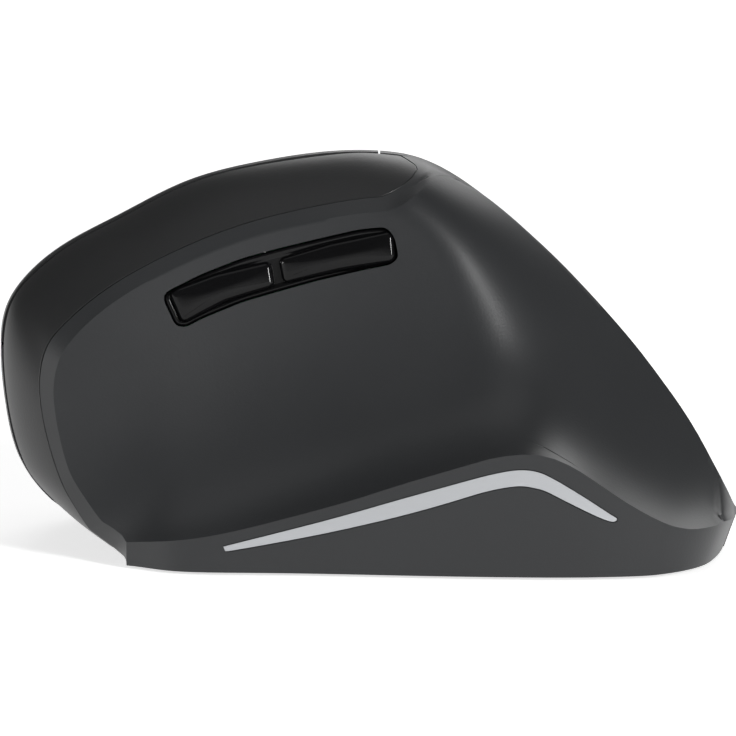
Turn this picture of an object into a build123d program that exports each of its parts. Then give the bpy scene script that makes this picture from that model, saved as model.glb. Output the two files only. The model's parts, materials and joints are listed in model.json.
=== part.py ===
from build123d import *
import math
import os

import numpy

# Driving sizes of the mouse, in millimetres. Minus X is the nose, plus X the heel of the hand,
# minus Y the thumb side, and the mouse rests on Z = 0.
LENGTH = 122.0
WIDTH = 76.0
HEIGHT = 65.0
WALL = 2.0
SEAM_GAP = 0.3
LEAN_DEGREES = 9.0

# The leaning thumb face. Depths are measured square to it, towards the thumb.
THUMB_FACE_DEPTH = 22.5
RIM_DEPTH = 20.0
SEAM_DEPTH = 8.0
RIDGE_DEPTH = 5.0
BEVEL_REACH = 8.0
LEDGE_REACH = 30.0
SCOOP = 2.4
BULGE = 2.0
LEDGE_BLEND = 8.0
HEEL_ROUND_TOP = 11.0
HEEL_ROUND = 26.0
HEEL_DROP = 14.0

# The finger side and the base.
FINGER_DEPTH = 46.0
FINGER_LEAN_DEGREES = 57.0
BASE_CLEARANCE = 0.5
SIDE_FLARE_DEGREES = 6.0
HEEL_FLARE_DEGREES = 20.0
HEEL_CREASE_HEIGHT = 5.5
OVERRUN = 12.0

# Roundness of the surfaces, and how closely lines and faces are sampled.
RIM_ROUND_POWER = 1.8
PLAN_POWER = 2.5
SECTION_POWER = 1.6
HEEL_POWER = 2.4
OUTSIDE_REACH = 4.0
FACE_MIDDLE_SHARE = 0.46
FACE_REACH_SHARE = 0.45
SCOOP_SHARE = -0.13
SCOOP_REACH_SHARE = 0.20
BULGE_SHARE = 0.17
BULGE_REACH_SHARE = 0.12
HEEL_EASE_SHARE = 0.45
FLARE_START_SHARE = 0.2
FLARE_RUN_SHARE = 0.284
FLARE_EASE_SHARE = 0.2
SAMPLE_COUNT = 240
GRID_STEP_SHARE = 0.03
FRONT_LEVEL_SHARES = (0.0, 0.25, 0.5, 0.75, 1.0)
BACK_LEVEL_SHARES = (0.0, 0.065, 0.16, 0.33, 0.5, 0.66, 0.79, 0.89, 0.95)

# Gaps: running clearance, the closest two still pieces come, and the wider seam at a moving button.
RUN_GAP = 0.3
FIT_GAP = 0.05
BUTTON_SEAM_GAP = 0.6

# Finger side. Places are along X, down the slope, and out square to it.
BUTTON_REAR = 2.0
BUTTON_FLOOR = 16.0
LEFT_EDGE = -29.6
RIGHT_EDGE = -18.4
PANEL_EDGE = 1.0
BRIDGE_REAR = -4.0
WHEEL_X = -34.0
WHEEL_SLOPE = -24.0
WHEEL_OUT = 34.8
WHEEL_RADIUS = 11.0
WHEEL_WIDTH = 6.2
HUB_RADIUS = 8.6
HUB_WIDTH = 5.6
AXLE_RADIUS = 1.2
WHEEL_SLOT_LENGTH = 18.0
WHEEL_SLOT_GAP = 0.6
TYRE_ROUND = 1.24

# The switch board and the frame plate that carries it.
PLATE_FRONT = -51.5
PLATE_REAR = -2.0
PLATE_UPPER = -38.0
PLATE_LOWER = -6.5
PLATE_OUT = 22.4
PLATE_THICK = 1.6
BOARD_THICK = 1.6
SWITCH_LENGTH = 12.8
SWITCH_WIDTH = 5.8
SWITCH_HEIGHT = 6.5
SWITCH_X = -38.0
LEFT_SWITCH_SLOPE = -33.6
RIGHT_SWITCH_SLOPE = -11.4
PLUNGER_RADIUS = 0.8
PLUNGER_OUT = 0.8
CRADLE_ARM = 1.6
CRADLE_BEAM = 2.4
CRADLE_LIFT = 2.4
CRADLE_FRONT = -47.5
CRADLE_REAR = -18.6
PIVOT_RADIUS = 0.9
DPI_X = -13.5
DPI_LENGTH = 7.4
DPI_WIDTH = 3.4
DPI_PROUD = 0.6
TACT_SIZE = 5.6
TACT_HEIGHT = 2.6
CLICK_SWITCH_SIZE = 4.5
CLICK_SWITCH_HEIGHT = 1.6
LEG_WIDTH = 1.7
FRONT_LEG_X = -31.0
REAR_LEG_X = -7.6
LEG_UPPER = -30.0
LEG_LOWER = -12.0
RIBBON_WIDTH = 10.0
RIBBON_THICK = 0.3

# The thumb buttons, on the leaning plane.
POCKET_SHARES = [
    (-0.278, 0.628), (-0.225, 0.678), (-0.171, 0.718), (-0.118, 0.745), (-0.064, 0.769), (-0.010, 0.792),
    (0.024, 0.797), (0.035, 0.772), (0.040, 0.722), (0.030, 0.706), (-0.010, 0.691), (-0.064, 0.668),
    (-0.118, 0.640), (-0.171, 0.611), (-0.225, 0.569), (-0.246, 0.548), (-0.259, 0.552),
]
FORWARD_BUTTON_SHARES = [
    (-0.270, 0.625), (-0.225, 0.667), (-0.142, 0.718), (-0.126, 0.645), (-0.171, 0.622), (-0.246, 0.561),
]
BACK_BUTTON_SHARES = [
    (-0.121, 0.731), (-0.064, 0.757), (0.022, 0.785), (0.033, 0.719), (-0.010, 0.703), (-0.104, 0.657),
]
POCKET_ROUND = 1.2
POCKET_FLOOR = 16.2
BUTTON_ROUND = 1.0
BUTTON_CROWN = 0.7
BUTTON_PROUD = 1.4
BEZEL_DROP = 0.9
THUMB_FLANGE = 1.4
THUMB_TRAVEL = 0.6
THUMB_BOARD_DEPTH = 9.2
THUMB_BOARD_THICK = 1.2
THUMB_BOARD_ENDS = (-33.0, 3.0)
THUMB_BOARD_HEIGHT = 9.0
THUMB_SWITCH_PLACES = ((-24.0, 41.5), (-4.5, 47.0))
THUMB_POST_PLACES = ((-31.0, 46.5), (0.5, 40.5))
THUMB_POST_RADIUS = 1.6

# The silver strip let into the base wall.
STRIP_SHARES = [
    (-0.1955, -0.010), (-0.144, 0.011), (-0.090, 0.036), (-0.037, 0.061), (0.016, 0.089), (0.069, 0.131),
    (0.122, 0.161), (0.150, 0.175), (0.177, 0.181), (0.204, 0.178), (0.230, 0.154), (0.257, 0.127),
    (0.284, 0.096), (0.302, 0.074), (0.301, 0.064), (0.291, 0.054), (0.284, 0.054), (0.257, 0.081),
    (0.230, 0.105), (0.204, 0.129), (0.177, 0.136), (0.150, 0.131), (0.122, 0.112), (0.097, 0.104),
    (0.043, 0.077),
    (-0.010, 0.054), (-0.063, 0.028), (-0.117, 0.006), (-0.170, -0.017), (-0.192, -0.024),
]
STRIP_THICK = 0.8

# The base plate and what it carries.
PLATE_LOW = 0.6
PLATE_REBATE = 0.5
PLATE_HIGH = 2.6
FOOT_FRONT = -38.6
FOOT_ROUND = 8.0
BOARD_LENGTH = 20.0
BOARD_FRONT = -28.5
BOARD_HALF_WIDTH = 16.0
BOARD_LOW = 6.5
POST_RADIUS = 2.2
BOARD_SCREW_INSET = 3.0
BASE_SCREW_RADIUS = 1.2
BASE_SCREW_HEAD = 2.4
BASE_SCREW_LENGTH = 6.5
SCREW_SLOT_SHARE = 0.7
BOSS_RADIUS = 3.2
BOSS_HEIGHT = 10.0
BOSS_REACH = 3.0
THUMB_BOSS_PLACES = ((-20.0, -26.2), (34.0, -30.2))
PALM_BOSS_PLACES = ((-20.0, 28.6), (32.0, 26.6))
TRAY_FRONT = -4.5
TRAY_REAR = 47.0
TRAY_THUMB = -9.5
TRAY_FINGER = 15.5
TRAY_WALL = 1.2
TRAY_TOP = 14.6
CELL_RADIUS = 5.2
CELL_LENGTH = 43.7
CELL_PITCH = 10.9
CELL_NIPPLE_RADIUS = 1.9
CELL_NIPPLE = 0.8
CONTACT_THICK = 0.4
DOOR_THICK = 1.0
DOOR_MARGIN = 1.6
DOOR_TRAVEL = 4.0
RECEIVER_X = 13.0
RECEIVER_Y = 24.5
RECEIVER_CAP = (14.4, 6.0, 6.0)
RECEIVER_PLUG = (12.0, 4.5, 12.0)
SLEEVE_WALL = 1.0
SLEEVE_HEIGHT = 9.0
POWER_X = -22.0
POWER_Y = 22.5
POWER_BODY = (9.0, 4.4, 4.0)
POWER_TRAVEL = 3.0
SENSOR_X = -18.5
SENSOR_SIZE = (9.0, 9.0, 2.2)
WINDOW_RADIUS = 3.0
LENS_SIZE = (12.0, 10.0)
LED_RADIUS = 1.5
GLIDE_THICK = 0.9
GLIDE_RECESS = 0.3
GLIDE_PLACES = (
    (-33.5, 0.0, 3.2, 26.0),
    (-6.0, 28.0, 16.0, 3.0),
    (-2.0, -28.5, 16.0, 3.0),
    (54.7, 0.0, 2.4, 15.0),
)

# Outlines on the leaning plane: shares of LENGTH along, and of HEIGHT up.
# The outline of the whole mouse seen square to the thumb face, from under the nose to the heel.
SILHOUETTE_SHARES = [
    (-0.250, -0.140), (-0.358, 0.000), (-0.406, 0.068), (-0.450, 0.145), (-0.4755, 0.221), (-0.492, 0.336),
    (-0.500, 0.490), (-0.492, 0.604), (-0.465, 0.681), (-0.410, 0.765), (-0.341, 0.834), (-0.248, 0.921),
    (-0.146, 0.972), (-0.037, 0.999), (0.018, 0.998), (0.062, 0.985), (0.103, 0.953), (0.165, 0.873),
    (0.214, 0.796), (0.258, 0.719), (0.297, 0.643), (0.334, 0.566), (0.368, 0.490), (0.399, 0.413),
    (0.428, 0.336), (0.4525, 0.260), (0.474, 0.183), (0.4945, 0.107), (0.517, 0.010), (0.540, -0.140),
]
# The raised line where the rounded rim meets the bevel round the thumb face, point for point.
RIM_SHARES = [
    (-0.250, -0.140), (-0.355, 0.006), (-0.380, 0.047), (-0.401, 0.110), (-0.417, 0.173), (-0.434, 0.277),
    (-0.443, 0.400), (-0.434, 0.492), (-0.412, 0.549), (-0.369, 0.620), (-0.307, 0.694), (-0.225, 0.767),
    (-0.135, 0.824), (-0.037, 0.863), (0.016, 0.875), (0.062, 0.880), (0.103, 0.872), (0.165, 0.830),
    (0.214, 0.772), (0.258, 0.707), (0.297, 0.637), (0.334, 0.562), (0.368, 0.488), (0.399, 0.412),
    (0.428, 0.335), (0.4525, 0.260), (0.474, 0.183), (0.4945, 0.107), (0.517, 0.010), (0.540, -0.140),
]
# The inner edge of the bevel, again point for point.
BEVEL_SHARES = [
    (-0.230, -0.140), (-0.333, 0.025), (-0.360, 0.060), (-0.385, 0.125), (-0.404, 0.190), (-0.4175, 0.285),
    (-0.424, 0.385), (-0.417, 0.460), (-0.399, 0.515), (-0.360, 0.585), (-0.297, 0.662), (-0.217, 0.733),
    (-0.130, 0.789), (-0.037, 0.826), (0.018, 0.838), (0.064, 0.846), (0.103, 0.840), (0.163, 0.802),
    (0.210, 0.750), (0.254, 0.690), (0.293, 0.625), (0.330, 0.552), (0.364, 0.480), (0.395, 0.405),
    (0.424, 0.330), (0.4485, 0.255), (0.470, 0.180), (0.4905, 0.107), (0.513, 0.010), (0.536, -0.140),
]
FIRST_HEEL_POINT = 14
SPINE_POINTS = 14
SPINE_END_SHARES = [
    (0.020, 0.876), (0.044, 0.886), (0.060, 0.902), (0.068, 0.925), (0.067, 0.946), (0.055, 0.972),
    (0.040, 1.010),
]
SPRING_SPACE_SHARE = 0.04
LEDGE_BEVEL_POINTS = 9
LEDGE_HEEL_POINT = 19

# The crease where the thumb ledge meets the base wall.
LEDGE_SHARES = [
    (-0.600, 0.015), (-0.430, 0.000), (-0.333, 0.004), (-0.277, 0.008), (-0.224, 0.018), (-0.170, 0.038),
    (-0.117, 0.063), (-0.063, 0.090), (-0.010, 0.119), (0.043, 0.151), (0.097, 0.181), (0.150, 0.210),
    (0.177, 0.222), (0.204, 0.227), (0.230, 0.225), (0.257, 0.210), (0.284, 0.183), (0.310, 0.151),
    (0.337, 0.117), (0.364, 0.087), (0.391, 0.062), (0.417, 0.047), (0.444, 0.045), (0.471, 0.060),
    (0.488, 0.083), (0.600, 0.150),
]

# The plan of the base at the floor: shares of LENGTH along, and of WIDTH across.
PLAN_SHARES = [
    (-0.620, -0.270), (-0.492, -0.276), (-0.400, -0.292), (-0.314, -0.350), (-0.251, -0.415),
    (-0.143, -0.432),
    (-0.037, -0.447), (0.097, -0.472), (0.230, -0.487), (0.311, -0.483), (0.365, -0.468), (0.392, -0.447),
    (0.420, -0.408), (0.447, -0.347), (0.465, -0.263), (0.480, -0.130), (0.484, 0.000), (0.476, 0.150),
    (0.440, 0.275), (0.372, 0.365), (0.280, 0.432), (0.160, 0.484), (0.010, 0.507), (-0.140, 0.475),
    (-0.250, 0.425), (-0.330, 0.380), (-0.480, 0.360), (-0.620, 0.355),
]
# The underside of the nose: shares of LENGTH along, and of HEIGHT above the floor.
UNDERSIDE_SHARES = [
    (-0.640, 0.420), (-0.505, 0.300), (-0.475, 0.231), (-0.450, 0.157), (-0.417, 0.108), (-0.380, 0.060),
    (-0.355, 0.049), (-0.319, 0.032), (-0.294, 0.014), (-0.271, 0.007),
]

LEAN = math.radians(LEAN_DEGREES)
LEAN_PLANE = Plane(
    origin=(0, 0, 0), x_dir=(1, 0, 0), z_dir=(0, -math.cos(LEAN), math.sin(LEAN))
)
FINGER_LEAN = math.radians(FINGER_LEAN_DEGREES)
FINGER_PLANE = Plane(
    origin=(0, 0, 0), x_dir=(1, 0, 0), z_dir=(0, math.sin(FINGER_LEAN), math.cos(FINGER_LEAN))
)


def lean_point(u, v, n):
    """The point u along, v up the lean and n towards the thumb."""
    return Vector(u, v * math.sin(LEAN) - n * math.cos(LEAN), v * math.cos(LEAN) + n * math.sin(LEAN))


def lean_outline(shares):
    """Outline points in millimetres on the leaning plane."""
    return [(LENGTH * along, HEIGHT * up) for along, up in shares]


def moved_in(points, inset):
    """An open outline moved to the right of its direction, which is inward here."""
    moved = []
    last = len(points) - 1
    for index, (x, y) in enumerate(points):
        before = points[max(index - 1, 0)]
        after = points[min(index + 1, last)]
        run = math.hypot(after[0] - before[0], after[1] - before[1])
        moved.append((x + inset * (after[1] - before[1]) / run, y - inset * (after[0] - before[0]) / run))
    return moved


def blended(first, second, share):
    """Points between two outlines."""
    return [
        (a[0] + share * (b[0] - a[0]), a[1] + share * (b[1] - a[1])) for a, b in zip(first, second)
    ]


def outline_at(depth, inset):
    """The closed outline of the mouse at one depth, before the thumb face and base are cut."""
    silhouette = lean_outline(SILHOUETTE_SHARES)
    if depth > RIDGE_DEPTH:
        share = ((depth - RIDGE_DEPTH) / (RIM_DEPTH - RIDGE_DEPTH)) ** RIM_ROUND_POWER
        points = blended(silhouette, lean_outline(RIM_SHARES), share)
    else:
        share = (RIDGE_DEPTH - depth) / (FINGER_DEPTH - inset)
        along = (1 - share**PLAN_POWER) ** (1 / PLAN_POWER)
        up = (1 - share**SECTION_POWER) ** (1 / SECTION_POWER)
        points = [(x * along, y * up) for x, y in silhouette]
    return moved_in(points, inset) if inset else points


def outline_wire(points, depth):
    """A smooth line through the outline points at one depth, closed below the floor."""
    placed = [lean_point(x, y, depth) for x, y in points]
    return Wire([Edge.make_spline(placed), Edge.make_line(placed[-1], placed[0])])


def lofted(levels, inset):
    return Part() + Solid.make_loft([outline_wire(outline_at(depth, inset), depth) for depth in levels])


def curve_samples(points):
    """Places along a smooth line through the points, close together."""
    line = Edge.make_spline([Vector(x, y) for x, y in points])
    places = [line @ (index / SAMPLE_COUNT) for index in range(SAMPLE_COUNT + 1)]
    return numpy.array([place.X for place in places]), numpy.array([place.Y for place in places])


def eased(share):
    """A smooth step from nought to one."""
    share = min(max(share, 0.0), 1.0)
    return share * share * (3 - 2 * share)


def bump(place, centre, reach):
    return math.exp(-(((place - centre) / reach) ** 2))


class ThumbFace:
    """Depth of the thumb face at any place on the leaning plane."""

    def __init__(self):
        heel = lean_outline(SILHOUETTE_SHARES[FIRST_HEEL_POINT:])
        self.heel_x, self.heel_y = curve_samples(heel)
        self.ledge_x, self.ledge_y = curve_samples(lean_outline(LEDGE_SHARES))
        plan_x, plan_y = curve_samples([(x, y) for x, y in heel_plan(HEEL_CREASE_HEIGHT)])
        near = slice(0, int(numpy.argmax(plan_x)) + 1)
        self.plan_x, self.plan_y = plan_x[near], plan_y[near]

    def plain_depth(self, u, v):
        """The face without its ledge: a shallow scoop, the palm bulge and the rounding to the heel."""
        rise = bump(v, FACE_MIDDLE_SHARE * HEIGHT, FACE_REACH_SHARE * HEIGHT)
        depth = THUMB_FACE_DEPTH - SCOOP * rise * bump(u, SCOOP_SHARE * LENGTH, SCOOP_REACH_SHARE * LENGTH)
        depth += BULGE * bump(u, BULGE_SHARE * LENGTH, BULGE_REACH_SHARE * LENGTH)
        away = numpy.hypot(self.heel_x - u, self.heel_y - v)
        nearest = int(numpy.argmin(away))
        before, after = max(nearest - 1, 0), min(nearest + 1, SAMPLE_COUNT)
        run_x = self.heel_x[after] - self.heel_x[before]
        run_y = self.heel_y[after] - self.heel_y[before]
        side = (u - self.heel_x[nearest]) * run_y - (v - self.heel_y[nearest]) * run_x
        inside = math.copysign(away[nearest], side)
        low = eased((HEIGHT - self.heel_y[nearest]) / (HEEL_EASE_SHARE * HEIGHT))
        reach = HEEL_ROUND_TOP + (HEEL_ROUND - HEEL_ROUND_TOP) * low
        if inside < reach:
            depth -= HEEL_DROP * (1 - max(inside, -OUTSIDE_REACH) / reach) ** HEEL_POWER
        return depth

    def wall_depth(self, u, v):
        """Depth of the base wall beside a place on the thumb face."""
        edge = float(numpy.interp(u, self.plan_x, self.plan_y))
        lean_slope = math.tan(math.radians(SIDE_FLARE_DEGREES))
        return (v * (math.sin(LEAN) + lean_slope * math.cos(LEAN)) - edge) / (
            math.cos(LEAN) - lean_slope * math.sin(LEAN)
        )

    def depth(self, u, v):
        """The whole face, flaring out to the base wall along the ledge crease."""
        crease = float(numpy.interp(u, self.ledge_x, self.ledge_y))
        plain = self.plain_depth(u, v)
        at_crease = self.plain_depth(u, crease)
        flare = max(self.wall_depth(u, crease) - at_crease, 0.0)
        above = (v - crease) / LEDGE_BLEND
        growth = math.exp(-above) if above > 0 else 2 - math.exp(above)
        return plain + flare * growth


def beyond_thumb_face(face, inset):
    """Everything on the thumb's side of the face, as a solid to cut away."""
    across = numpy.arange(-0.62, 0.621, GRID_STEP_SHARE)
    upward = numpy.arange(-0.13, 1.081, GRID_STEP_SHARE * LENGTH / HEIGHT)
    grid = [
        [
            lean_point(LENGTH * along, HEIGHT * up, face.depth(LENGTH * along, HEIGHT * up + inset) - inset)
            for up in upward
        ]
        for along in across
    ]
    surface = Face.make_surface_from_array_of_points(grid, tol=0.02, smoothing=(1, 1, 1), max_deg=5)
    return Part() + Solid.extrude(surface, LEAN_PLANE.z_dir * WIDTH * 2)


def heel_plan(height):
    """The plan of the base wall at one height, flared out at the heel alone."""
    heel = height * math.tan(math.radians(HEEL_FLARE_DEGREES))
    points = []
    for along, across in PLAN_SHARES:
        back = eased((along - FLARE_START_SHARE) / FLARE_RUN_SHARE)
        points.append((LENGTH * along + heel * back, WIDTH * across))
    return points


def plan_points(inset, height):
    """The plan of the base wall at one height above the floor."""
    side = height * math.tan(math.radians(SIDE_FLARE_DEGREES))
    reach = FLARE_EASE_SHARE * WIDTH
    flared = [(x, y - side * min(max(-y / reach, 0), 1)) for x, y in heel_plan(height)]
    return moved_in(flared, -inset) if inset else flared


def base_wall(inset):
    """The solid inside the flared base wall."""
    wires = []
    for height in (-OVERRUN, HEIGHT + OVERRUN):
        placed = [Vector(x, y, height) for x, y in plan_points(inset, height)]
        wires.append(Wire([Edge.make_spline(placed), Edge.make_line(placed[-1], placed[0])]))
    return Part() + Solid.make_loft(wires, ruled=True)


def bevel_band(inset):
    """The straight bevel that runs from the rim down to the thumb face and past it."""
    rim, bevel = lean_outline(RIM_SHARES), lean_outline(BEVEL_SHARES)
    wires = []
    for depth in (RIM_DEPTH, RIM_DEPTH + BEVEL_REACH):
        points = blended(rim, bevel, (depth - RIM_DEPTH) / (THUMB_FACE_DEPTH - RIM_DEPTH))
        wires.append(outline_wire(moved_in(points, inset) if inset else points, depth))
    return Part() + Solid.make_loft(wires, ruled=True)


def lean_prism(points, low, high):
    """A straight-sided solid on the leaning plane, between two depths."""
    outline = make_face(Polyline(*points, close=True))
    return LEAN_PLANE.location * Pos(0, 0, low) * extrude(outline, high - low)


def ledge_block(inset):
    """The block that the thumb ledge and base wall are carved from."""
    bevel = lean_outline(BEVEL_SHARES[:LEDGE_BEVEL_POINTS])
    heel = lean_outline(SILHOUETTE_SHARES[LEDGE_HEEL_POINT:])
    points = moved_in(bevel, inset) + moved_in(heel, inset) if inset else bevel + heel
    return lean_prism(points, RIM_DEPTH - BEVEL_REACH / 2, RIM_DEPTH + LEDGE_REACH)


def under_nose(inset):
    """Everything below the underside of the nose, and for the outer form below its foot."""
    rise = 2 * inset
    floor = -OVERRUN if inset else BASE_CLEARANCE
    low = -OVERRUN - WIDTH / 2
    points = [(LENGTH * along, HEIGHT * up + rise) for along, up in UNDERSIDE_SHARES]
    edge = Edge.make_spline([Vector(x, -WIDTH, z) for x, z in points])
    foot = edge @ 1
    corners = [(foot.X, floor), (LENGTH, floor), (LENGTH, low), (points[0][0], low)]
    around = Polyline(foot, *[Vector(x, -WIDTH, z) for x, z in corners], edge @ 0)
    return Part() + Solid.extrude(Face(Wire([edge, *around.edges()])), Vector(0, 2 * WIDTH, 0))


def thumb_half(face, start, inset):
    """The thumb side of the mouse, from a start depth to the thumb face."""
    depths = [start + share * (RIM_DEPTH - start) for share in FRONT_LEVEL_SHARES]
    whole = lofted(depths, inset) + bevel_band(inset) + ledge_block(inset)
    return (whole & base_wall(inset)) - beyond_thumb_face(face, inset) - under_nose(inset)


def finger_half(start, inset):
    """The finger side of the mouse, from a start depth outwards."""
    reach = start - RIDGE_DEPTH + FINGER_DEPTH - inset
    whole = lofted([start - share * reach for share in BACK_LEVEL_SHARES], inset)
    return (whole & base_wall(inset)) - under_nose(inset)


def finger_box(x_ends, slope_ends, out_ends):
    """A box squared up to the finger slope."""
    size = [ends[1] - ends[0] for ends in (x_ends, slope_ends, out_ends)]
    middle = [(ends[1] + ends[0]) / 2 for ends in (x_ends, slope_ends, out_ends)]
    return FINGER_PLANE.location * Pos(*middle) * Box(*size)


def around(place, size):
    return (place - size / 2, place + size / 2)


def plain_box(x_ends, y_ends, z_ends):
    """A box square to the mouse."""
    size = [ends[1] - ends[0] for ends in (x_ends, y_ends, z_ends)]
    middle = [(ends[1] + ends[0]) / 2 for ends in (x_ends, y_ends, z_ends)]
    return Pos(*middle) * Box(*size)


def upright(radius, place, low, high):
    return Pos(place[0], place[1], (low + high) / 2) * Cylinder(radius, high - low)


def slope_rod(radius, x, out, slope_ends):
    """A round bar that lies down the finger slope."""
    middle = (slope_ends[0] + slope_ends[1]) / 2
    place = FINGER_PLANE.location * Pos(x, middle, out) * Rot(90, 0, 0)
    return place * Cylinder(radius, slope_ends[1] - slope_ends[0])


def finger_pin(radius, x, slope, out_ends):
    """A round pin that stands square to the finger slope."""
    middle = sum(out_ends) / 2
    return FINGER_PLANE.location * Pos(x, slope, middle) * Cylinder(radius, out_ends[1] - out_ends[0])


def rounded_lean_prism(points, low, high, radius):
    """A prism on the leaning plane with rounded upright corners."""
    outline = fillet(make_face(Polyline(*points, close=True)).vertices(), radius)
    return LEAN_PLANE.location * Pos(0, 0, low) * extrude(outline, high - low)


def grown(points, amount):
    """A closed outline with every point moved outwards from its neighbours' line."""
    moved = []
    for index, (x, y) in enumerate(points):
        before, after = points[index - 1], points[(index + 1) % len(points)]
        run = math.hypot(after[0] - before[0], after[1] - before[1])
        moved.append((x - amount * (after[1] - before[1]) / run, y + amount * (after[0] - before[0]) / run))
    return moved


def spine_region(shift):
    """Everything outside the seam between the spine cover and the thumb shell."""
    seam = moved_in(lean_outline(RIM_SHARES[:SPINE_POINTS] + SPINE_END_SHARES), -shift)
    placed = [lean_point(x, y, 0) for x, y in seam]
    far = [(-LENGTH, 2 * HEIGHT), (-LENGTH, -HEIGHT), (seam[0][0], -HEIGHT)]
    around_seam = Polyline(placed[-1], lean_point(seam[-1][0], 2 * HEIGHT, 0),
                           *[lean_point(x, y, 0) for x, y in far], placed[0])
    outline = Wire([Edge.make_spline(placed), *around_seam.edges()])
    return Part() + Solid.extrude(Face(outline), LEAN_PLANE.z_dir * WIDTH)


def strip_prism(growth):
    points = grown(lean_outline(STRIP_SHARES), growth) if growth else lean_outline(STRIP_SHARES)
    return lean_prism(points, RIM_DEPTH, RIM_DEPTH + 2 * LEDGE_REACH)


def accent_strip(wall, wall_inside):
    """The silver strip, bent along the base wall."""
    return (strip_prism(0) & wall) - wall_inside


def boss(place, half):
    """A screw boss that grows out of a shell's wall."""
    x, y = place
    low, high = PLATE_HIGH + RUN_GAP, PLATE_HIGH + BOSS_HEIGHT
    outward = sorted((y, y + math.copysign(BOSS_RADIUS + BOSS_REACH, y)))
    column = upright(BOSS_RADIUS, place, low, high) + plain_box(around(x, BOSS_RADIUS), outward, (low, high))
    bore_top = PLATE_LOW + BASE_SCREW_LENGTH + RUN_GAP
    return (column & half) - upright(BASE_SCREW_RADIUS + FIT_GAP, place, 0, bore_top)


def thumb_side(face):
    """The thumb shell, the spine cover, the strip and the thumb buttons with their bezel."""
    start = SEAM_DEPTH + SEAM_GAP / 2
    outer = thumb_half(face, start, 0)
    skin = outer - thumb_half(face, start - WALL, WALL)
    write("spine_cover", skin & spine_region(SEAM_GAP / 2))
    wall, wall_inside = base_wall(0), base_wall(STRIP_THICK)
    write("accent_strip", accent_strip(wall, wall_inside))
    groove = strip_prism(RUN_GAP / 2) - base_wall(STRIP_THICK + RUN_GAP / 2)
    shell = skin - spine_region(-SEAM_GAP / 2) - groove
    pocket = lean_outline(POCKET_SHARES)
    pocket_ends = (POCKET_FLOOR - RUN_GAP, RIM_DEPTH + LEDGE_REACH)
    shell -= rounded_lean_prism(grown(pocket, RUN_GAP / 2), *pocket_ends, POCKET_ROUND)
    shell -= plate_rebate()
    for place in THUMB_BOSS_PLACES:
        shell += boss(place, outer)
    for u, v in THUMB_POST_PLACES:
        low = THUMB_BOARD_DEPTH + THUMB_BOARD_THICK
        top = face.plain_depth(u, v) - WALL / 2
        shell += LEAN_PLANE.location * Pos(u, v, (low + top) / 2) * Cylinder(THUMB_POST_RADIUS, top - low)
    write("thumb_side_shell", shell)
    bezel_top = min(face.plain_depth(u, v) for u, v in pocket) - BEZEL_DROP
    bezel = rounded_lean_prism(pocket, POCKET_FLOOR, bezel_top, POCKET_ROUND)
    buttons = {"forward_button": FORWARD_BUTTON_SHARES, "back_button": BACK_BUTTON_SHARES}
    for name, shares in buttons.items():
        points = lean_outline(shares)
        bezel -= rounded_lean_prism(grown(points, RUN_GAP), 0, RIM_DEPTH + LEDGE_REACH, BUTTON_ROUND)
        write(name, thumb_button(face, points))
    write("thumb_button_bezel", bezel)


def thumb_button(face, points):
    """One thumb button with rounded upper edges, and the flange that keeps it behind the bezel."""
    low = POCKET_FLOOR - RUN_GAP - THUMB_FLANGE
    middle = [sum(values) / len(points) for values in zip(*points)]
    top = face.plain_depth(*middle) + BUTTON_PROUD
    button = rounded_lean_prism(points, low, top, BUTTON_ROUND)
    upper = [edge for edge in button.edges() if LEAN_PLANE.to_local_coords(edge.center()).Z > top - FIT_GAP]
    button = fillet(upper, BUTTON_CROWN)
    flange = grown(points, THUMB_FLANGE / 2)
    return button + rounded_lean_prism(flange, low, low + THUMB_FLANGE, BUTTON_ROUND)


def thumb_board():
    """The small board behind the thumb buttons, with a switch for each."""
    (front, rear), thick = THUMB_BOARD_ENDS, THUMB_BOARD_THICK
    (u1, v1), (u2, v2) = THUMB_SWITCH_PLACES
    slant = (v2 - v1) / (u2 - u1)
    half = THUMB_BOARD_HEIGHT / 2
    corners = [
        (u, v1 + slant * (u - u1) + side)
        for u, side in ((front, -half), (front, half), (rear, half), (rear, -half))
    ]
    write("thumb_button_board", lean_prism(corners, THUMB_BOARD_DEPTH, THUMB_BOARD_DEPTH + thick))
    top = POCKET_FLOOR - RUN_GAP - THUMB_FLANGE - THUMB_TRAVEL - RUN_GAP / 2
    low = THUMB_BOARD_DEPTH + thick
    for name, (u, v) in zip(("forward_switch", "back_switch"), THUMB_SWITCH_PLACES):
        stem = TACT_HEIGHT / 2
        body = Pos(u, v, (low + top - stem) / 2) * Box(TACT_SIZE, TACT_SIZE, top - stem - low)
        cap = Pos(u, v, top - stem / 2) * Cylinder(TACT_SIZE / 4, stem)
        write(name, LEAN_PLANE.location * (body + cap))


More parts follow.
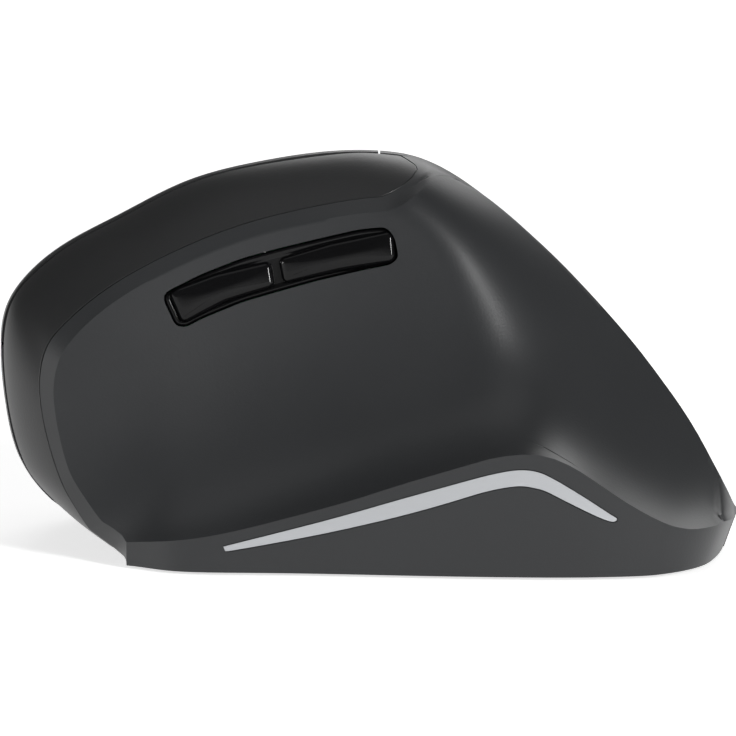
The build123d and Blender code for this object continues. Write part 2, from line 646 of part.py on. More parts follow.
def finger_side():
    """The palm shell, the two click buttons and the bridge between them."""
    start = SEAM_DEPTH - SEAM_GAP / 2
    outer = finger_half(start, 0)
    skin = outer - finger_half(start + WALL, WALL)
    front = (-LENGTH, BUTTON_REAR)
    upper = (-2 * HEIGHT, LEFT_EDGE)
    above = (BUTTON_FLOOR, 2 * HEIGHT)
    middle = (LEFT_EDGE + RUN_GAP, RIGHT_EDGE - RUN_GAP)
    cleared = finger_box(front, (-2 * HEIGHT, PANEL_EDGE), above)
    bridge_opening = finger_box((-LENGTH, BRIDGE_REAR), (LEFT_EDGE, RIGHT_EDGE), above)
    land = finger_box((BRIDGE_REAR, BUTTON_REAR + WALL), middle, above)
    palm = skin - (cleared - land) - bridge_opening - plate_rebate()
    for place in PALM_BOSS_PLACES:
        palm += boss(place, outer)
    write("palm_shell", palm)
    button_front = (-LENGTH, BUTTON_REAR - RUN_GAP)
    clear_above = (BUTTON_FLOOR + BUTTON_SEAM_GAP, 2 * HEIGHT)
    seam = lean_prism([(-LENGTH, -HEIGHT), (LENGTH, -HEIGHT), (LENGTH, 2 * HEIGHT), (-LENGTH, 2 * HEIGHT)],
                      SEAM_DEPTH + SEAM_GAP / 2 - BUTTON_SEAM_GAP, WIDTH)
    left = (skin & finger_box(button_front, upper, clear_above)) - seam
    left += button_rib(LEFT_SWITCH_SLOPE, outer)
    write("left_click_button", left)
    right = skin & finger_box(button_front, (RIGHT_EDGE, PANEL_EDGE - RUN_GAP), clear_above)
    right = right - seam + button_rib(RIGHT_SWITCH_SLOPE, outer)
    write("right_click_button", right)
    bridge = (skin & finger_box((-LENGTH, BRIDGE_REAR - RUN_GAP), middle, clear_above)) - seam
    slot_across = around(WHEEL_SLOPE, WHEEL_WIDTH + 4 * RUN_GAP)
    bridge -= finger_box(around(WHEEL_X, WHEEL_SLOT_LENGTH), slot_across, above)
    bridge -= slope_rod(WHEEL_RADIUS + WHEEL_SLOT_GAP, WHEEL_X, WHEEL_OUT, slot_across)
    dpi_across = around(WHEEL_SLOPE, DPI_WIDTH + 2 * RUN_GAP)
    bridge -= finger_box(around(DPI_X, DPI_LENGTH + 2 * RUN_GAP), dpi_across, above)
    write("centre_bridge", bridge)
    return outer


def switch_top():
    return PLATE_OUT + PLATE_THICK + BOARD_THICK + SWITCH_HEIGHT + PLUNGER_OUT


def button_rib(slope, outer):
    """The rib under a click button that presses its switch."""
    low = switch_top() + RUN_GAP
    rib = finger_box(around(SWITCH_X, CRADLE_BEAM), around(slope, CRADLE_BEAM), (low, 2 * HEIGHT))
    return (rib & outer) if rib else rib


def switch_board():
    """The board under the click buttons, its switches, and their plungers."""
    low = PLATE_OUT + PLATE_THICK
    high = low + BOARD_THICK
    board = finger_box((PLATE_FRONT, PLATE_REAR), (PLATE_UPPER, PLATE_LOWER), (low, high))
    write("switch_board", board - wheel_well() - post_slots())
    for side, slope in (("left", LEFT_SWITCH_SLOPE), ("right", RIGHT_SWITCH_SLOPE)):
        body_top = high + SWITCH_HEIGHT
        bore_ends = (body_top - SWITCH_HEIGHT / 2, body_top)
        bore = finger_pin(PLUNGER_RADIUS + FIT_GAP, SWITCH_X, slope, bore_ends)
        body = finger_box(around(SWITCH_X, SWITCH_LENGTH), around(slope, SWITCH_WIDTH), (high, body_top))
        write(side + "_click_switch", body - bore)
        ends = (body_top - SWITCH_HEIGHT / 4, body_top + PLUNGER_OUT)
        write(side + "_switch_plunger", finger_pin(PLUNGER_RADIUS, SWITCH_X, slope, ends))
    tact = finger_box(around(DPI_X, TACT_SIZE), around(WHEEL_SLOPE, TACT_SIZE), (high, high + TACT_HEIGHT))
    write("dpi_switch", tact)
    click_x = CRADLE_FRONT - CLICK_SWITCH_SIZE / 2 + CRADLE_BEAM
    click = finger_box(around(click_x, CLICK_SWITCH_SIZE), around(WHEEL_SLOPE, CLICK_SWITCH_SIZE),
                       (high, high + CLICK_SWITCH_HEIGHT))
    write("wheel_click_switch", click)


def wheel_well():
    """The slot that the wheel turns in, through the board and the plate."""
    reach = WHEEL_RADIUS + 2 * RUN_GAP
    width = WHEEL_WIDTH + 4 * RUN_GAP
    return finger_box(around(WHEEL_X, 2 * reach), around(WHEEL_SLOPE, width), (0, WHEEL_OUT))


def post_places():
    """Where the cradle's two pivot posts stand, across the slope."""
    inner = WHEEL_WIDTH / 2 + RUN_GAP * 3 + CRADLE_ARM + RUN_GAP
    outer = inner + CRADLE_ARM
    return [(WHEEL_SLOPE - outer, WHEEL_SLOPE - inner), (WHEEL_SLOPE + inner, WHEEL_SLOPE + outer)]


def pivot_place():
    out = PLATE_OUT + PLATE_THICK + BOARD_THICK + CRADLE_LIFT + CRADLE_BEAM / 2
    return CRADLE_REAR - CRADLE_BEAM / 2, out


def post_slots():
    pivot_x, _ = pivot_place()
    slots = Part()
    for ends in post_places():
        across = (ends[0] - RUN_GAP, ends[1] + RUN_GAP)
        slots += finger_box(around(pivot_x, 2 * CRADLE_BEAM), across, (0, WHEEL_OUT))
    return slots


def inner_frame():
    """The frame plate on its two legs, with the posts of the wheel cradle."""
    top = PLATE_OUT + PLATE_THICK
    plate = finger_box((PLATE_FRONT, PLATE_REAR), (PLATE_UPPER, PLATE_LOWER), (PLATE_OUT, top))
    plate -= wheel_well()
    pivot_x, pivot_out = pivot_place()
    for ends in post_places():
        post_x = around(pivot_x, 2 * CRADLE_BEAM - 2 * RUN_GAP)
        plate += finger_box(post_x, ends, (PLATE_OUT, pivot_out + CRADLE_BEAM))
        plate -= slope_rod(PIVOT_RADIUS + FIT_GAP, pivot_x, pivot_out, (ends[0] - WALL, ends[1] + WALL))
    for x in (FRONT_LEG_X, REAR_LEG_X):
        upper, lower = finger_place(x, LEG_UPPER, PLATE_OUT), finger_place(x, LEG_LOWER, PLATE_OUT)
        corners = [upper, lower, Vector(x, lower.Y, PLATE_HIGH), Vector(x, upper.Y, PLATE_HIGH)]
        leg = Solid.extrude(Face(Wire(Polyline(*corners, close=True).edges())), Vector(LEG_WIDTH, 0, 0))
        plate += Part() + leg
    write("inner_frame", plate)


def finger_place(x, slope, out):
    """A point given on the finger slope."""
    return (FINGER_PLANE.location * Pos(x, slope, out)).position


def wheel():
    """The scroll wheel, its axle, the cradle that lets it click, and the encoder."""
    half = WHEEL_WIDTH / 2
    inner = half + 3 * RUN_GAP
    outer = inner + CRADLE_ARM
    tyre = slope_rod(WHEEL_RADIUS, WHEEL_X, WHEEL_OUT, (WHEEL_SLOPE - half, WHEEL_SLOPE + half))
    tyre = fillet(tyre.edges().filter_by(GeomType.CIRCLE), TYRE_ROUND)
    bore = slope_rod(HUB_RADIUS, WHEEL_X, WHEEL_OUT, (WHEEL_SLOPE - WHEEL_WIDTH, WHEEL_SLOPE + WHEEL_WIDTH))
    write("wheel_tyre", tyre - bore)
    hub = slope_rod(HUB_RADIUS, WHEEL_X, WHEEL_OUT, around(WHEEL_SLOPE, HUB_WIDTH))
    axle_hole = slope_rod(AXLE_RADIUS, WHEEL_X, WHEEL_OUT, around(WHEEL_SLOPE, 2 * WHEEL_WIDTH))
    write("wheel_hub", hub - axle_hole)
    axle_ends = (WHEEL_SLOPE - outer, WHEEL_SLOPE + outer + CRADLE_ARM)
    write("wheel_axle", slope_rod(AXLE_RADIUS, WHEEL_X, WHEEL_OUT, axle_ends))
    pivot_x, pivot_out = pivot_place()
    low = pivot_out - CRADLE_BEAM / 2
    high = pivot_out + CRADLE_BEAM / 2
    cradle = Part()
    for ends in ((WHEEL_SLOPE - outer, WHEEL_SLOPE - inner), (WHEEL_SLOPE + inner, WHEEL_SLOPE + outer)):
        cradle += finger_box((CRADLE_FRONT, CRADLE_REAR), ends, (low, high))
        cradle += finger_box(around(WHEEL_X, 2 * CRADLE_BEAM), ends, (low, WHEEL_OUT + CRADLE_BEAM))
    across = (WHEEL_SLOPE - outer, WHEEL_SLOPE + outer)
    for x_ends in ((CRADLE_FRONT, CRADLE_FRONT + CRADLE_ARM), (CRADLE_REAR - CRADLE_BEAM, CRADLE_REAR)):
        cradle += finger_box(x_ends, across, (low, high))
    cradle -= slope_rod(AXLE_RADIUS + FIT_GAP, WHEEL_X, WHEEL_OUT, (across[0] - WALL, across[1] + WALL))
    pin_reach = RUN_GAP + CRADLE_ARM
    cradle += slope_rod(PIVOT_RADIUS, pivot_x, pivot_out, (across[0] - pin_reach, across[1] + pin_reach))
    write("wheel_cradle", cradle)
    encoder = finger_box(around(WHEEL_X, 4 * CRADLE_BEAM), (across[1], across[1] + 2 * CRADLE_ARM),
                         (low, WHEEL_OUT + CRADLE_BEAM))
    encoder -= slope_rod(AXLE_RADIUS + FIT_GAP, WHEEL_X, WHEEL_OUT, (across[1], across[1] + 3 * CRADLE_ARM))
    write("wheel_encoder", encoder)


def dpi_button(outer):
    """The small button behind the wheel, on its long stem."""
    low = PLATE_OUT + PLATE_THICK + BOARD_THICK + TACT_HEIGHT + 2 * RUN_GAP
    top = finger_height(DPI_X, WHEEL_SLOPE, outer)
    ends = (top - 2 * WALL, 2 * HEIGHT)
    cap = finger_box(around(DPI_X, DPI_LENGTH), around(WHEEL_SLOPE, DPI_WIDTH), ends) & outer
    cap = cap + Pos(*(FINGER_PLANE.z_dir * DPI_PROUD)) * cap
    stem = finger_pin(DPI_WIDTH / 3, DPI_X, WHEEL_SLOPE, (low, top - WALL))
    write("dpi_button", cap + stem)


def finger_height(x, slope, outer):
    """How far out the finger surface lies at one place on the slope."""
    probe = finger_pin(RUN_GAP, x, slope, (0, 2 * HEIGHT)) & outer
    ends = [FINGER_PLANE.to_local_coords(vertex).Z for vertex in probe.vertices()]
    return max(ends)


def plate_prism(clearance, low, high):
    """The plan of the base plate as a solid, square across the front with rounded corners."""
    inset = WALL - PLATE_REBATE + clearance
    points = [Vector(x, y, 0) for x, y in plan_points(inset, PLATE_LOW)]
    outline = Face(Wire([Edge.make_spline(points), Edge.make_line(points[-1], points[0])]))
    front = FOOT_FRONT - RUN_GAP + clearance
    plan = Pos(0, 0, low) * (Part() + Solid.extrude(outline, Vector(0, 0, high - low)))
    return plan - plain_box((-LENGTH, front), (-WIDTH, WIDTH), (low, high))


def plate_rebate():
    """The space that the shells leave for the base plate."""
    return plate_prism(0, -OVERRUN, PLATE_HIGH + RUN_GAP)


def base():
    """The base plate with its door, glides, screws, switch, receiver and lens."""
    plate = plate_prism(RUN_GAP, PLATE_LOW, PLATE_HIGH)
    corners = [edge for edge in plate.edges() if edge.length < FOOT_ROUND / 2]
    plate = fillet(corners, FOOT_ROUND)
    bay_x = (TRAY_FRONT + TRAY_WALL, TRAY_REAR - TRAY_WALL)
    bay_y = (TRAY_THUMB + TRAY_WALL, TRAY_FINGER - TRAY_WALL)
    plate -= plain_box(bay_x, bay_y, (0, PLATE_HIGH + WALL))
    door_x = (TRAY_FRONT - DOOR_MARGIN, TRAY_REAR + DOOR_MARGIN)
    door_y = (TRAY_THUMB - DOOR_MARGIN, TRAY_FINGER + DOOR_MARGIN)
    recess_x = (door_x[0] - RUN_GAP, door_x[1] + DOOR_TRAVEL + RUN_GAP)
    recess_y = (door_y[0] - RUN_GAP, door_y[1] + RUN_GAP)
    plate -= plain_box(recess_x, recess_y, (0, PLATE_LOW + DOOR_THICK + FIT_GAP))
    write("battery_door", plain_box(door_x, door_y, (PLATE_LOW, PLATE_LOW + DOOR_THICK)))
    glides = []
    for x, y, length, width in GLIDE_PLACES:
        pad = extrude(RectangleRounded(length, width, min(length, width) / 2 - RUN_GAP / 2), GLIDE_THICK)
        glides.append(Pos(x, y, 0) * pad)
        pocket_size = (length + RUN_GAP, width + RUN_GAP, 2 * (PLATE_LOW + GLIDE_RECESS))
        plate -= Pos(x, y, 0) * Box(*pocket_size)
    write("glide_pads", Compound(glides))
    screws = []
    head_high = PLATE_LOW + WALL / 2
    for place in THUMB_BOSS_PLACES + PALM_BOSS_PLACES:
        plate -= upright(BASE_SCREW_HEAD + RUN_GAP, place, 0, head_high)
        plate -= upright(BASE_SCREW_RADIUS + FIT_GAP, place, 0, PLATE_HIGH + WALL)
        screw = upright(BASE_SCREW_HEAD, place, PLATE_LOW, head_high)
        screw += upright(BASE_SCREW_RADIUS, place, head_high, PLATE_LOW + BASE_SCREW_LENGTH)
        slot_length = 2 * SCREW_SLOT_SHARE * BASE_SCREW_HEAD
        screw -= Pos(place[0], place[1], PLATE_LOW) * Box(slot_length, 2 * RUN_GAP, WALL / 2)
        screws.append(screw)
    write("base_screws", Compound(screws))
    length, width, cap_height = RECEIVER_CAP
    cap_top = PLATE_LOW + cap_height
    plug_length, plug_width, plug_height = RECEIVER_PLUG
    cap = plain_box(around(RECEIVER_X, length), around(RECEIVER_Y, width), (PLATE_LOW, cap_top))
    plug_ends = (cap_top, cap_top + plug_height)
    plug = plain_box(around(RECEIVER_X, plug_length), around(RECEIVER_Y, plug_width), plug_ends)
    write("usb_receiver", cap + plug)
    outside = 2 * RUN_GAP + 2 * SLEEVE_WALL
    sleeve_x, sleeve_y = around(RECEIVER_X, length + outside), around(RECEIVER_Y, width + outside)
    sleeve = plain_box(sleeve_x, sleeve_y, (PLATE_LOW, PLATE_LOW + SLEEVE_HEIGHT))
    hole_x, hole_y = around(RECEIVER_X, length + 2 * FIT_GAP), around(RECEIVER_Y, width + 2 * FIT_GAP)
    sleeve_hole = plain_box(hole_x, hole_y, (0, cap_top + plug_height))
    plate = plate + sleeve - sleeve_hole
    slot_x, slot_y = around(POWER_X, POWER_BODY[0] - WALL), around(POWER_Y, POWER_BODY[1] - WALL)
    plate -= plain_box(slot_x, slot_y, (0, PLATE_HIGH + WALL))
    body_ends = (PLATE_HIGH, PLATE_HIGH + POWER_BODY[2])
    body = plain_box(around(POWER_X, POWER_BODY[0]), around(POWER_Y, POWER_BODY[1]), body_ends)
    write("power_switch_body", body - plain_box(slot_x, slot_y, (0, PLATE_HIGH + WALL / 2)))
    knob_length = POWER_BODY[0] - WALL - POWER_TRAVEL - 2 * FIT_GAP
    knob_x = around(POWER_X - POWER_TRAVEL / 2, knob_length)
    knob_y = around(POWER_Y, POWER_BODY[1] - WALL - 2 * FIT_GAP)
    write("power_switch_slider", plain_box(knob_x, knob_y, (PLATE_LOW, PLATE_HIGH + WALL / 2 - FIT_GAP)))
    plate -= upright(WINDOW_RADIUS, (SENSOR_X, 0), 0, PLATE_HIGH + WALL)
    for place in board_posts():
        post = upright(POST_RADIUS, place, PLATE_HIGH, BOARD_LOW)
        plate += post - upright(BASE_SCREW_RADIUS / 2 + FIT_GAP, place, PLATE_HIGH, BOARD_LOW)
    write("base_plate", plate)


def board_posts():
    ends = (BOARD_FRONT + BOARD_SCREW_INSET, BOARD_FRONT + BOARD_LENGTH - BOARD_SCREW_INSET)
    side = BOARD_HALF_WIDTH - BOARD_SCREW_INSET
    return [(x, y) for x in ends for y in (-side, side)]


def main_board():
    """The main board with its sensor, lens, lamp and screws, and the ribbons up to the small boards."""
    high = BOARD_LOW + BOARD_THICK
    board_x, board_y = (BOARD_FRONT, BOARD_FRONT + BOARD_LENGTH), (-BOARD_HALF_WIDTH, BOARD_HALF_WIDTH)
    board = plain_box(board_x, board_y, (BOARD_LOW, high))
    board -= upright(WINDOW_RADIUS, (SENSOR_X, 0), 0, high)
    screws = []
    for place in board_posts():
        board -= upright(BASE_SCREW_RADIUS / 2 + FIT_GAP, place, BOARD_LOW, high)
        screw = upright(POST_RADIUS, place, high, high + WALL / 2)
        screws.append(screw + upright(BASE_SCREW_RADIUS / 2, place, PLATE_HIGH + RUN_GAP, high))
    write("main_board", board)
    write("board_screws", Compound(screws))
    size = SENSOR_SIZE
    sensor = plain_box(around(SENSOR_X, size[0]), around(0, size[1]), (high, high + size[2]))
    write("optical_sensor", sensor)
    lens = plain_box(around(SENSOR_X, LENS_SIZE[0]), around(0, LENS_SIZE[1]), (PLATE_HIGH, BOARD_LOW))
    lens -= upright(WINDOW_RADIUS / 2, (SENSOR_X, 0), PLATE_HIGH + WALL, BOARD_LOW)
    write("sensor_lens", lens)
    lamp_x = SENSOR_X + LENS_SIZE[0] / 2 + LED_RADIUS + RUN_GAP
    write("sensor_lamp", upright(LED_RADIUS, (lamp_x, 0), PLATE_HIGH + RUN_GAP, BOARD_LOW))
    plate_edge = finger_place(0, PLATE_LOWER, PLATE_OUT + PLATE_THICK + BOARD_THICK)
    ribbon_y = (plate_edge.Y + FIT_GAP, plate_edge.Y + FIT_GAP + RIBBON_THICK)
    ribbon = plain_box(around(SENSOR_X, RIBBON_WIDTH), ribbon_y, (high, plate_edge.Z))
    write("switch_ribbon", ribbon)


def battery_bay():
    """The tray, its two cells, and the contacts at their ends."""
    outside = plain_box((TRAY_FRONT, TRAY_REAR), (TRAY_THUMB, TRAY_FINGER), (PLATE_HIGH, TRAY_TOP))
    inside = plain_box((TRAY_FRONT + TRAY_WALL, TRAY_REAR - TRAY_WALL),
                       (TRAY_THUMB + TRAY_WALL, TRAY_FINGER - TRAY_WALL), (0, TRAY_TOP - TRAY_WALL))
    write("battery_tray", outside - inside)
    middle = (TRAY_THUMB + TRAY_FINGER) / 2
    height = TRAY_TOP - TRAY_WALL - CELL_RADIUS - RUN_GAP
    front = TRAY_FRONT + TRAY_WALL + CONTACT_THICK
    rear = TRAY_REAR - TRAY_WALL - CONTACT_THICK
    cells, plates, springs = [], [], []
    for index, side in enumerate((-1, 1)):
        y = middle + side * CELL_PITCH / 2
        turned = 180 * index
        cell_x = (front + rear) / 2 + (SPRING_SPACE_SHARE * CELL_LENGTH) * side * -1 / 2
        cell = Cylinder(CELL_RADIUS, CELL_LENGTH) + Pos(0, 0, (CELL_LENGTH + CELL_NIPPLE) / 2) * Cylinder(
            CELL_NIPPLE_RADIUS, CELL_NIPPLE
        )
        cells.append(Pos(cell_x, y, height) * Rot(0, 90, turned) * cell)
        size = 2 * CELL_RADIUS - WALL
        for x in (front - CONTACT_THICK / 2, rear + CONTACT_THICK / 2):
            plates.append(Pos(x, y, height) * Box(CONTACT_THICK, size, size))
    write("battery_cells", Compound(cells))
    write("contact_plates", Compound(plates))


def build():
    face = ThumbFace()
    thumb_side(face)
    thumb_board()
    outer = finger_side()
    switch_board()
    inner_frame()
    wheel()
    dpi_button(outer)
    base()
    main_board()
    battery_bay()


def write(name, shape):
    os.makedirs("parts", exist_ok=True)
    export_step(shape, "parts/" + name + ".step")


build()
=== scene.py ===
import json
import logging
import math
from dataclasses import dataclass
from enum import Enum
from functools import lru_cache
from typing import Callable, ClassVar, Mapping, Sequence, Union

import bmesh
import bpy
import numpy
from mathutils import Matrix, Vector


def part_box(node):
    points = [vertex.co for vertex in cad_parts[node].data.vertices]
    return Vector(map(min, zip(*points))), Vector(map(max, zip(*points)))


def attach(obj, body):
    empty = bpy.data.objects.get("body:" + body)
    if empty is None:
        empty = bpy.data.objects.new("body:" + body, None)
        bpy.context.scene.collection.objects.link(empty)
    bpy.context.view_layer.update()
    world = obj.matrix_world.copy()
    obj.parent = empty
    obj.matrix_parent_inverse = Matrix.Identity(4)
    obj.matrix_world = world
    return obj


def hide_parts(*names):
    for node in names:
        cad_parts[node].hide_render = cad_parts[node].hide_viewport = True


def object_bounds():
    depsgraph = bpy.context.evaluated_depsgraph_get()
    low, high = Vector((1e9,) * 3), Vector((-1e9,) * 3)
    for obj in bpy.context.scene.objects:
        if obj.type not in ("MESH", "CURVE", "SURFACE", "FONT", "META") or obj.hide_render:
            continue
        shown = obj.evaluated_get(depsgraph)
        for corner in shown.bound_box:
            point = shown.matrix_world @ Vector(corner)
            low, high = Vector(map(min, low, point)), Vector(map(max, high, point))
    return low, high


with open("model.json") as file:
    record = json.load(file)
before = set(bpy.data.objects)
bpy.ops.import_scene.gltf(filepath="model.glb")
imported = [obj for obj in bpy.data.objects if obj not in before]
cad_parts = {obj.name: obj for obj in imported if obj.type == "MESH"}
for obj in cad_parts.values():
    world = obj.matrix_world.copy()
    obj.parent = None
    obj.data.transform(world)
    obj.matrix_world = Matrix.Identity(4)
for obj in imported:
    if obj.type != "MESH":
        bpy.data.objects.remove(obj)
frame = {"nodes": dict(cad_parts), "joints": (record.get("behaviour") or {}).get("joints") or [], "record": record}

log = logging.getLogger("mouse")
CAD_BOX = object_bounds()
WELD = 1e-6
OUTLINE_STEP = 0.0007
POCKET_LEVEL = 0.7

# Outlines on the leaning plane: shares of the mouse's length along and of its height up.
SILHOUETTE_SHARES = (
    (-0.250, -0.140), (-0.358, 0.000), (-0.406, 0.068), (-0.450, 0.145), (-0.4755, 0.221), (-0.492, 0.336),
    (-0.500, 0.490), (-0.492, 0.604), (-0.465, 0.681), (-0.410, 0.765), (-0.341, 0.834), (-0.248, 0.921),
    (-0.146, 0.972), (-0.037, 0.999), (0.018, 0.998), (0.062, 0.985), (0.103, 0.953), (0.165, 0.873),
    (0.214, 0.796), (0.258, 0.719), (0.297, 0.643), (0.334, 0.566), (0.368, 0.490), (0.399, 0.413),
    (0.428, 0.336), (0.4525, 0.260), (0.474, 0.183), (0.4945, 0.107), (0.517, 0.010), (0.540, -0.140),
)
RIM_SHARES = (
    (-0.250, -0.140), (-0.355, 0.006), (-0.380, 0.047), (-0.401, 0.110), (-0.417, 0.173), (-0.434, 0.277),
    (-0.443, 0.400), (-0.434, 0.492), (-0.412, 0.549), (-0.369, 0.620), (-0.307, 0.694), (-0.225, 0.767),
    (-0.135, 0.824), (-0.037, 0.863), (0.016, 0.875), (0.062, 0.880), (0.103, 0.872), (0.165, 0.830),
    (0.214, 0.772), (0.258, 0.707), (0.297, 0.637), (0.334, 0.562), (0.368, 0.488), (0.399, 0.412),
    (0.428, 0.335), (0.4525, 0.260), (0.474, 0.183), (0.4945, 0.107), (0.517, 0.010), (0.540, -0.140),
)
BEVEL_SHARES = (
    (-0.230, -0.140), (-0.333, 0.025), (-0.360, 0.060), (-0.385, 0.125), (-0.404, 0.190), (-0.4175, 0.285),
    (-0.424, 0.385), (-0.417, 0.460), (-0.399, 0.515), (-0.360, 0.585), (-0.297, 0.662), (-0.217, 0.733),
    (-0.130, 0.789), (-0.037, 0.826), (0.018, 0.838), (0.064, 0.846), (0.103, 0.840), (0.163, 0.802),
    (0.210, 0.750), (0.254, 0.690), (0.293, 0.625), (0.330, 0.552), (0.364, 0.480), (0.395, 0.405),
    (0.424, 0.330), (0.4485, 0.255), (0.470, 0.180), (0.4905, 0.107), (0.513, 0.010), (0.536, -0.140),
)
LEDGE_SHARES = (
    (-0.600, 0.015), (-0.430, 0.000), (-0.333, 0.004), (-0.277, 0.008), (-0.224, 0.018), (-0.170, 0.038),
    (-0.117, 0.063), (-0.063, 0.090), (-0.010, 0.119), (0.043, 0.151), (0.097, 0.181), (0.150, 0.210),
    (0.177, 0.222), (0.204, 0.227), (0.230, 0.225), (0.257, 0.210), (0.284, 0.183), (0.310, 0.151),
    (0.337, 0.117), (0.364, 0.087), (0.391, 0.062), (0.417, 0.047), (0.444, 0.045), (0.471, 0.060),
    (0.488, 0.083), (0.600, 0.150),
)
STRIP_SHARES = (
    (-0.1937, -0.0044), (-0.0905, 0.0446), (-0.0235, 0.0785), (0.0436, 0.1148), (0.1106, 0.1500),
    (0.1575, 0.1738), (0.1883, 0.1856), (0.2071, 0.1881), (0.2272, 0.1826), (0.2527, 0.1600),
    (0.2915, 0.1161), (0.3224, 0.0785), (0.3311, 0.0684), (0.3317, 0.0634), (0.3277, 0.0596),
    (0.3157, 0.0647), (0.2888, 0.0872), (0.2527, 0.1211), (0.2326, 0.1387), (0.2151, 0.1462),
    (0.1964, 0.1480), (0.1575, 0.1349), (0.1106, 0.1086), (0.0436, 0.0734), (-0.0235, 0.0433),
    (-0.0905, 0.0170), (-0.1709, -0.0106), (-0.1910, -0.0156),
)
POCKET_SHARES = (
    (-0.278, 0.628), (-0.225, 0.678), (-0.171, 0.718), (-0.118, 0.745), (-0.064, 0.769), (-0.010, 0.792),
    (0.024, 0.797), (0.035, 0.772), (0.040, 0.722), (0.030, 0.706), (-0.010, 0.691), (-0.064, 0.668),
    (-0.118, 0.640), (-0.171, 0.611), (-0.225, 0.569), (-0.246, 0.548), (-0.259, 0.552),
)
FORWARD_SHARES = (
    (-0.2690, 0.6304), (-0.2583, 0.6455), (-0.2057, 0.6834), (-0.1369, 0.7124), (-0.1288, 0.7036),
    (-0.1247, 0.6556), (-0.1301, 0.6442), (-0.1922, 0.6076), (-0.2448, 0.5571), (-0.2529, 0.5622),
)
BACK_SHARES = (
    (-0.1167, 0.7225), (-0.0506, 0.7616), (0.0276, 0.7907), (0.0357, 0.7768), (0.0378, 0.7212),
    (0.0317, 0.7074), (-0.0371, 0.6859), (-0.1099, 0.6556), (-0.1160, 0.6657), (-0.1207, 0.7111),
)
# The plan of the base at the floor: shares of the length along and of the width across.
PLAN_SHARES = (
    (-0.620, -0.270), (-0.492, -0.276), (-0.400, -0.292), (-0.314, -0.350), (-0.251, -0.415),
    (-0.143, -0.432), (-0.037, -0.447), (0.097, -0.472), (0.230, -0.487), (0.311, -0.483),
    (0.365, -0.468), (0.392, -0.447), (0.420, -0.408), (0.447, -0.347), (0.465, -0.263),
    (0.480, -0.130), (0.484, 0.000), (0.476, 0.150), (0.440, 0.275),
)
# Where the spine cover ends behind the thumb buttons: share of the way over the rim, and outline point.
SPINE_END = (
    (0.0, 14.05), (0.08, 14.60), (0.21, 14.95), (0.40, 15.13), (0.57, 15.10), (0.79, 14.85), (1.0, 14.60),
)

Points = Sequence[Sequence[float]]
Place = Callable[[float, float], Vector]
Socket = bpy.types.NodeSocket
Value = Union[Socket, float, Sequence[float]]


class SmoothLine:
    """A smooth line through given points, read by point number."""

    def __init__(self, points: Points, scale: tuple[float, float]) -> None:
        """Fits the line.

        Args:
            points: the places that the line goes through.
            scale: what one share along and one share up measure.
        """
        self.points = numpy.array(points) * scale
        count = len(points)
        system = numpy.diag([1.0] + [4.0] * (count - 2) + [1.0])
        bend = numpy.zeros((count, 2))
        for row in range(1, count - 1):
            system[row, row - 1] = system[row, row + 1] = 1.0
            bend[row] = 6 * (self.points[row - 1] - 2 * self.points[row] + self.points[row + 1])
        self.bends = numpy.linalg.solve(system, bend)

    def at(self, place: float) -> numpy.ndarray:
        """The point at a place.

        Args:
            place: point number, whole or between two.

        Returns:
            The two coordinates.
        """
        index = min(int(max(place, 0)), len(self.points) - 2)
        after = place - index
        before = 1 - after
        ends = before * self.points[index] + after * self.points[index + 1]
        first, second = self.bends[index], self.bends[index + 1]
        return ends + ((before**3 - before) * first + (after**3 - after) * second) / 6

    def samples(self, count: int) -> numpy.ndarray:
        """Points spread evenly over the point numbers.

        Args:
            count: how many points.

        Returns:
            One row for each point.
        """
        last = len(self.points) - 1
        return numpy.array([self.at(last * step / (count - 1)) for step in range(count)])


def eased(share: float) -> float:
    """A smooth step from nought to one."""
    share = min(max(share, 0.0), 1.0)
    return share * share * (3 - 2 * share)


def hump(place: float, centre: float, reach: float) -> float:
    """A smooth hump of height one."""
    return math.exp(-(((place - centre) / reach) ** 2))


